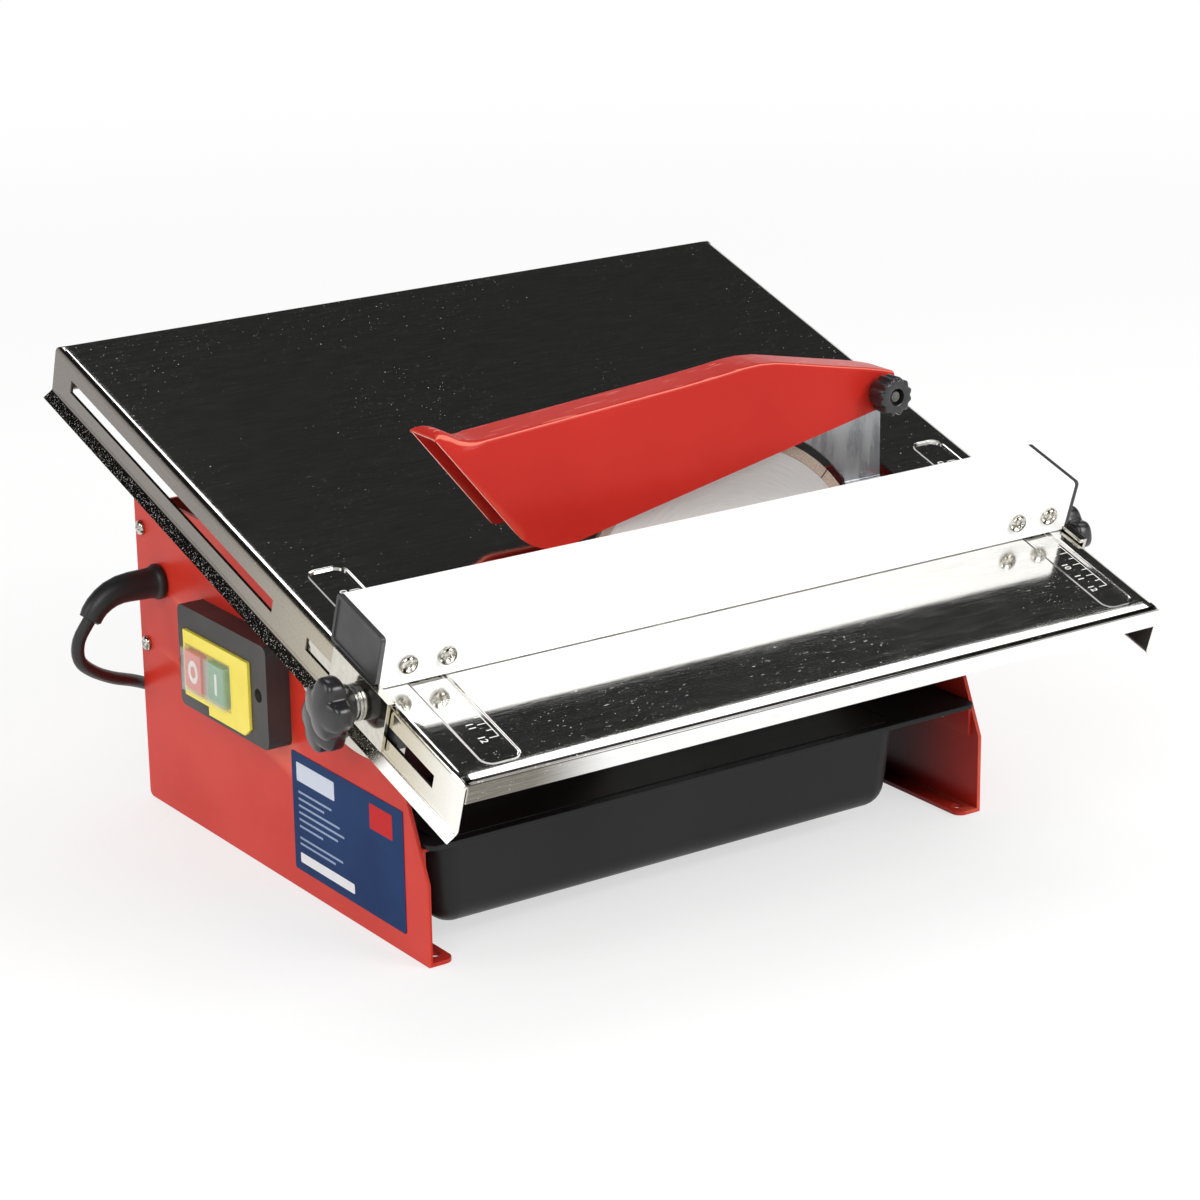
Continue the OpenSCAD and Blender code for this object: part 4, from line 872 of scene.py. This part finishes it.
# ---- table
# One sheet of stainless steel, brushed from side to side and polished, with
# folded edges, slots for the fence and a pressed trough for each ruler.
TABLE_HALF_W = 0.1975
TROUGHS = ((-0.1805, -0.162), (0.171, 0.1875))
TROUGH_Y = (-0.137, 0.018)
TROUGH_CORNER = 0.005
sheet, given = new_skin(
    "table_skin", "Metal", "Crown", Color=("Light", "Dark", "Speck"),
    Float=("Speck Share", "Rough", "Rough Spread"),
)
place = sheet.place()
fine = sheet.noise(place, 1, 3, (55, 1500, 1500), Roughness=0.65)
haze = sheet.noise(place, 11, 3)
line = sheet.ramp(fine, 0.35, 0.68)
untilted = {"Vector": place, "Location": TABLE_PIVOT, "Rotation": (TABLE_TILT, 0, 0)}
flat = sheet.split(sheet.first("ShaderNodeMapping", untilted, vector_type="TEXTURE"))
aside = sheet.calc("ABSOLUTE", flat["X"])
from_front = sheet.calc("ADD", flat["Y"], FRONT_EDGE)


def streaked(dark, light):
    """Colour that follows the brushing, from tones in 0 to 255."""
    return sheet.blend(line, screen(*dark), screen(*light))


# The top is polished. Painted reflection: the front flange is near white but dark at its left end, a dark
# line along its fold stands for a dark reflection, and the side flanges are near white at the front and
# darken towards the rear. The sheet is dull grey underneath.
tone = sheet.blend(line, given["Dark"], given["Light"])
painted_flange_reflection = sheet.blend(
    sheet.ramp(flat["X"], -0.165, -0.115),
    streaked((118, 114, 106), (140, 136, 127)), streaked((251, 251, 249), (254, 254, 253)),
)
tone = sheet.blend(sheet.ramp(from_front, 0.001, 0.003, 1, 0), tone, painted_flange_reflection)
# Painted reflection: a dark line along the front fold.
painted_fold_shade = sheet.calc("ABSOLUTE", sheet.calc("SUBTRACT", from_front, 0.0022))
painted_fold_shade = sheet.ramp(painted_fold_shade, 0.0009, 0.0013, 0.95, 0)
painted_fold_shade = sheet.product(painted_fold_shade, sheet.calc("GREATER_THAN", flat["Z"], -0.0016))
tone = sheet.blend(painted_fold_shade, tone, screen(44, 42, 40))
# Painted reflection on the side flanges: near white at the front, tan, then grey towards the rear.
tan = sheet.blend(
    sheet.ramp(from_front, 0, 0.055),
    streaked((250, 248, 240), (253, 252, 247)), streaked((204, 195, 170), (220, 212, 190)),
)
painted_flank_reflection = sheet.blend(sheet.ramp(from_front, 0, 0.24), tan, streaked((124, 118, 112), (142, 136, 130)))
tone = sheet.blend(sheet.ramp(aside, TABLE_HALF_W - 0.003, TABLE_HALF_W - 0.001), tone, painted_flank_reflection)
under = sheet.product(
    sheet.calc("LESS_THAN", flat["Z"], -0.0011), sheet.calc("LESS_THAN", aside, TABLE_HALF_W - 0.0008),
    sheet.calc("GREATER_THAN", from_front, 0.0008),
)
tone = sheet.blend(under, tone, screen(66, 62, 58))

# Bright dust and short bright scores on the polish, thickest in patches, and grit on the side flanges' outer
# lips; the lips' front ends get a near-white painted highlight.
dust_and_lip_highlight = 0
for cells, share, widest, thinnest in ((230, 0.35, 0.1, 0.3), (640, 0.62, 0.16, 0)):
    dots = sheet.node("ShaderNodeTexVoronoi", {"Vector": place, "Scale": cells, "Randomness": 1}).outputs
    reach = sheet.ramp(sheet.first("ShaderNodeSeparateColor", {0: dots["Color"]}), share, 1, 0, widest)
    spot = sheet.ramp(sheet.calc("SUBTRACT", reach, dots["Distance"]), 0, 0.05)
    dust_and_lip_highlight = sheet.calc("MAXIMUM", dust_and_lip_highlight, sheet.product(spot, sheet.ramp(haze, 0.42, 0.66, thinnest)))
scores = sheet.ramp(sheet.noise(place, 1, 2, (260, 1900, 1900)), 0.68, 0.76)
scores = sheet.product(scores, sheet.ramp(from_front, 0.03, 0.1, 1, 0.25))
scores = sheet.product(scores, sheet.ramp(haze, 0.4, 0.6, 0.1, 0.7))
lip = sheet.calc("GREATER_THAN", aside, TABLE_HALF_W + 0.0006)
grit = sheet.product(sheet.ramp(sheet.noise(place, 1500, 1), 0.6, 0.68, 0, 0.7), lip)
dust_and_lip_highlight = sheet.calc("MAXIMUM", sheet.calc("MAXIMUM", dust_and_lip_highlight, scores), grit)
# Painted highlight: the lips' front ends are near white, dull and not metal.
lip_painted_highlight = sheet.product(lip, sheet.ramp(from_front, 0.052, 0.068, 1, 0))
dust_and_lip_highlight = sheet.calc("MAXIMUM", sheet.product(dust_and_lip_highlight, given["Speck Share"]), lip_painted_highlight)
speck_and_lip_highlight = sheet.blend(lip_painted_highlight, given["Speck"], screen(253, 253, 251))
dull = sheet.calc("MULTIPLY_ADD", line, given["Rough Spread"], given["Rough"])
dull = sheet.calc("MULTIPLY_ADD", under, 0.3, dull)

# The folds start with a slight fall towards each edge, and each trough's rim
# is drawn in: both are given as a height in metres on the flat top.
fall = 0
from_side = sheet.calc("SUBTRACT", TABLE_HALF_W, aside)
for inward, width, slope in ((from_front, 0.012, 0.24), (from_side, 0.0065, 0.3)):
    past = sheet.calc("MAXIMUM", sheet.calc("SUBTRACT", width, inward), 0)
    past = sheet.calc("MINIMUM", past, width)
    fall = sheet.calc("ADD", fall, sheet.product(past, past, slope / width / 2))
for left, right in TROUGHS:
    gaps = []
    for axis, low, high in (("X", left, right), ("Y", *TROUGH_Y)):
        off = sheet.calc("ABSOLUTE", sheet.calc("SUBTRACT", flat[axis], (low + high) / 2))
        gap = sheet.calc("MAXIMUM", sheet.calc("SUBTRACT", off, (high - low) / 2 - TROUGH_CORNER), 0)
        gaps.append(sheet.product(gap, gap))
    beyond = sheet.calc("SUBTRACT", sheet.calc("SQRT", sheet.calc("ADD", *gaps)), TROUGH_CORNER)
    fall = sheet.calc("ADD", fall, sheet.ramp(beyond, 0, 0.0014, 0.0005, 0))
close_skin(
    sheet, Tone=sheet.blend(dust_and_lip_highlight, tone, speck_and_lip_highlight), Height=fine, Crown=sheet.product(fall, -1),
    Roughness=sheet.calc("MAXIMUM", dull, sheet.product(dust_and_lip_highlight, 0.6)), Metal=sheet.calc("SUBTRACT", 1, dust_and_lip_highlight),
)
table_steel = skinned("table_stainless", sheet, dict(
    Light=screen(244, 243, 240), Dark=screen(232, 231, 227), Speck=screen(215, 216, 216), Speck_Share=0.85,
    Rough=0.075, Rough_Spread=0.06,
), 0.06, 0.00002)
dressed("table_top", table_steel, "stainless", 0.00035)


def new_growth(name, **inputs):
    """An empty Geometry Nodes tree; each input is given with its socket type."""
    group = bpy.data.node_groups.new(name, "GeometryNodeTree")
    for title, kind in inputs.items():
        group.interface.new_socket(title, in_out="INPUT", socket_type="NodeSocket" + kind)
    group.interface.new_socket("Geometry", in_out="OUTPUT", socket_type="NodeSocketGeometry")
    return Tree(group), group.nodes.new("NodeGroupInput").outputs


def close_growth(growth, drawn, finish):
    """Makes the instances real and gives them their material."""
    drawn = growth.first("GeometryNodeRealizeInstances", {0: drawn})
    drawn = growth.first("GeometryNodeSetMaterial", {"Geometry": drawn, "Material": finish})
    growth.node("NodeGroupOutput", {0: drawn})


# Rulers: etched marks in the troughs, in centimetres from the blade line.
# Each is a line of thin bars on a spine, every second one longer.
marks, given = new_growth(
    "ruler_marks", Count="Int", Step="Float", Long="Float", Short="Float", Width="Float", Thickness="Float",
    Finish="Material",
)
step = marks.vector(0, given["Step"])
row = marks.first("GeometryNodeMeshLine", {"Count": given["Count"], "Offset": step}, mode="OFFSET")
odd = marks.calc("MODULO", marks.first("GeometryNodeInputIndex"), 2)
length = marks.value(odd, given["Long"], given["Short"])
bar = marks.first("GeometryNodeMeshCube", {"Size": (1, 1, 1)})
bar = marks.first("GeometryNodeTransform", {"Geometry": bar, "Translation": (-0.5, 0, 0.5)})
size = marks.vector(length, given["Width"], given["Thickness"])
bars = marks.first("GeometryNodeInstanceOnPoints", {"Points": row, "Instance": bar, "Scale": size})
whole = marks.product(marks.calc("SUBTRACT", given["Count"], 1), given["Step"])
size = marks.vector(given["Width"], marks.calc("ABSOLUTE", whole), given["Thickness"])
middle = marks.vector(given["Width"], marks.product(whole, 0.5))
spine = marks.first("GeometryNodeTransform", {"Geometry": bar, "Translation": middle, "Scale": size})
drawn = marks.node("GeometryNodeJoinGeometry")
for part in (bars, spine):
    marks.tree.links.new(part, drawn.inputs[0])
close_growth(marks, drawn.outputs[0], given["Finish"])


def grown(name, growth, values, start=None):
    """Plain mesh object made by a Geometry Nodes tree from its named inputs."""
    piece = linked(name, start or bpy.data.meshes.new(name))
    modifier = piece.modifiers.new(name, "NODES")
    modifier.node_group = growth.tree
    for socket in growth.tree.interface.items_tree:
        if socket.name in values:
            modifier[socket.identifier] = values[socket.name]
    return settled(piece)


ETCH_Z, ETCH_T = -0.0008, 0.00006
RULERS = {"left_ruler": (-0.1635, -0.1715), "right_ruler": (0.185, 0.176)}
HIGHEST_MARK = 12
for name, (ticks_x, figures_x) in RULERS.items():
    ticks = grown(name, marks, {
        "Count": 2 * HIGHEST_MARK + 1, "Step": -0.005, "Long": 0.0045, "Short": 0.003, "Width": 0.00035,
        "Thickness": ETCH_T, "Finish": mark_white,
    })
    shape = bmesh.new()
    shape.from_mesh(ticks.data)
    shape.transform(tilted @ Matrix.Translation((ticks_x, 0, ETCH_Z)))
    bpy.data.objects.remove(ticks)
    for number in range(HIGHEST_MARK + 1):
        figure = bpy.data.curves.new("figure", "FONT")
        figure.body = str(number)
        figure.size = 0.0052
        figure.align_x = figure.align_y = "CENTER"
        figure.extrude = ETCH_T / 2
        figure.resolution_u = 3
        holder = linked("figure", figure)
        drawn = mesh_of(holder)
        bpy.data.objects.remove(holder)
        at = Matrix.Translation((figures_x, -number / 100, ETCH_Z + ETCH_T / 2))
        drawn.transform(tilted @ at @ Matrix.Rotation(-math.pi / 2, 4, "Z"))
        shape.from_mesh(drawn)
    on_body(piece_of(name + "_marks", shape, mark_white, 20), "table", "white_plastic")

# ---- fence
# Folded stainless rail with black end caps. A bracket at each end reaches
# over the table's edge to a stud that slides in the flange slot.
fence_steel = metal(
    "fence_stainless", (253, 253, 252), (249, 249, 248), 0.36, (3, 500, 500), 0.05, 0.04, 0.00002, 0.15,
)
dressed("fence_rail", fence_steel, "stainless", 0.00035)
cap_black = plastic("end_cap_moulding", (48, 48, 49), (40, 40, 41), 0.4, 50, 1100)
dressed("fence_end_caps", cap_black, "black_plastic", 0.0006, 3)
for node in ("left_fence_bracket", "right_fence_bracket"):
    dressed(node, polished, "stainless", 0.00035)
for node in ("fence_studs", "fence_washers"):
    dressed(node, zinc, "zinc_steel")

# ---- screws
# Pan-head machine screws with a cross recess, bright plated. They hold the
# rear panel, the knife bracket, the switch and the fence brackets.
fasteners, given = new_growth(
    "set_screws", Geometry="Geometry", Head="Object", Size="Float", Seed="Int", Finish="Material",
)
head = fasteners.node("GeometryNodeObjectInfo", {"Object": given["Head"]}).outputs["Geometry"]
outward = fasteners.first("GeometryNodeInputNamedAttribute", {"Name": "outward"}, data_type="FLOAT_VECTOR")
aimed = fasteners.first("FunctionNodeAlignRotationToVector", {"Vector": outward}, axis="Z")
FLOAT_MAX = 3
spun = {FLOAT_MAX: math.tau, "Seed": given["Seed"]}
spun = fasteners.node("FunctionNodeRandomValue", spun, data_type="FLOAT").outputs[1]
roll = fasteners.first("FunctionNodeAxisAngleToRotation", {"Axis": (0, 0, 1), "Angle": spun})
turned = {"Rotation": aimed, "Rotate By": roll}
turned = fasteners.first("FunctionNodeRotateRotation", turned, rotation_space="LOCAL")
points = fasteners.first("GeometryNodeMeshToPoints", {"Mesh": given["Geometry"]})
scale = fasteners.vector(*[given["Size"]] * 3)
heads = {"Points": points, "Instance": head, "Rotation": turned, "Scale": scale}
close_growth(fasteners, fasteners.first("GeometryNodeInstanceOnPoints", heads), given["Finish"])

# One screw of 1 mm head radius along +Z, its head's underside at the origin.
PROFILE = [
    (0.4, -2), (0.44, -1.9), (0.44, -0.02), (0.97, 0), (1, 0.04), (1, 0.24), (0.98, 0.34), (0.93, 0.43),
    (0.84, 0.52), (0.7, 0.6), (0.5, 0.655), (0.26, 0.68), (0.04, 0.685),
]
turned = lofted([circle(radius, height, 40) for radius, height in PROFILE])
screw = piece_of("screw", turned, bright_steel, 50)
ARM_END, ARM_HALF_W, RECESS_FLOOR = 0.56, 0.11, 0.26
cross = [
    Matrix.Rotation(quarter * math.pi / 2, 2) @ Vector(corner) for quarter in range(4)
    for corner in ((ARM_END, -ARM_HALF_W), (ARM_END, ARM_HALF_W), (ARM_HALF_W, ARM_HALF_W))
]
carved(screw, lofted([
    [(0.5 * p.x, 0.5 * p.y, RECESS_FLOOR) for p in cross], [(p.x, p.y, 0.9) for p in cross],
]))
SCREWS = {
    "rear_panel_screws": ("chassis", "chassis_screws", 0.0038, [
        ((hand * 0.163, BLADE_LINE + 0.2137, z), (hand, 0, 0)) for hand in (-1, 1) for z in (0.084, 0.145)
    ] + [((0.126, BLADE_LINE + 0.01, z), (0, -1, 0)) for z in (0.128, 0.152)]),
    "switch_box_screws": ("chassis", "switch_screws", 0.0032, [
        ((-0.171, BLADE_LINE + y, z), (-1, 0, 0)) for y, z in ((0.077, 0.0975), (0.152, 0.094))
    ]),
    "fence_bracket_screws": ("fence", "fence_screws", 0.0046, [
        (on_table(x, 73.5, 11), tilted.to_3x3() @ Vector((0, -1, 0))) for x in (-183, -163, 163, 183)
    ]),
}
FIRST_SEED = 3
for seed, (name, (body, node, size, places)) in enumerate(SCREWS.items(), FIRST_SEED):
    base = bpy.data.meshes.new(name)
    base.from_pydata([place for place, _ in places], [], [])
    outward = base.attributes.new("outward", "FLOAT_VECTOR", "POINT")
    for k, (_, way) in enumerate(places):
        outward.data[k].vector = way
    screws = grown(name, fasteners, {"Head": screw, "Size": size, "Seed": seed, "Finish": bright_steel}, base)
    on_body(screws, body, "screw_steel", node)
bpy.data.objects.remove(screw)
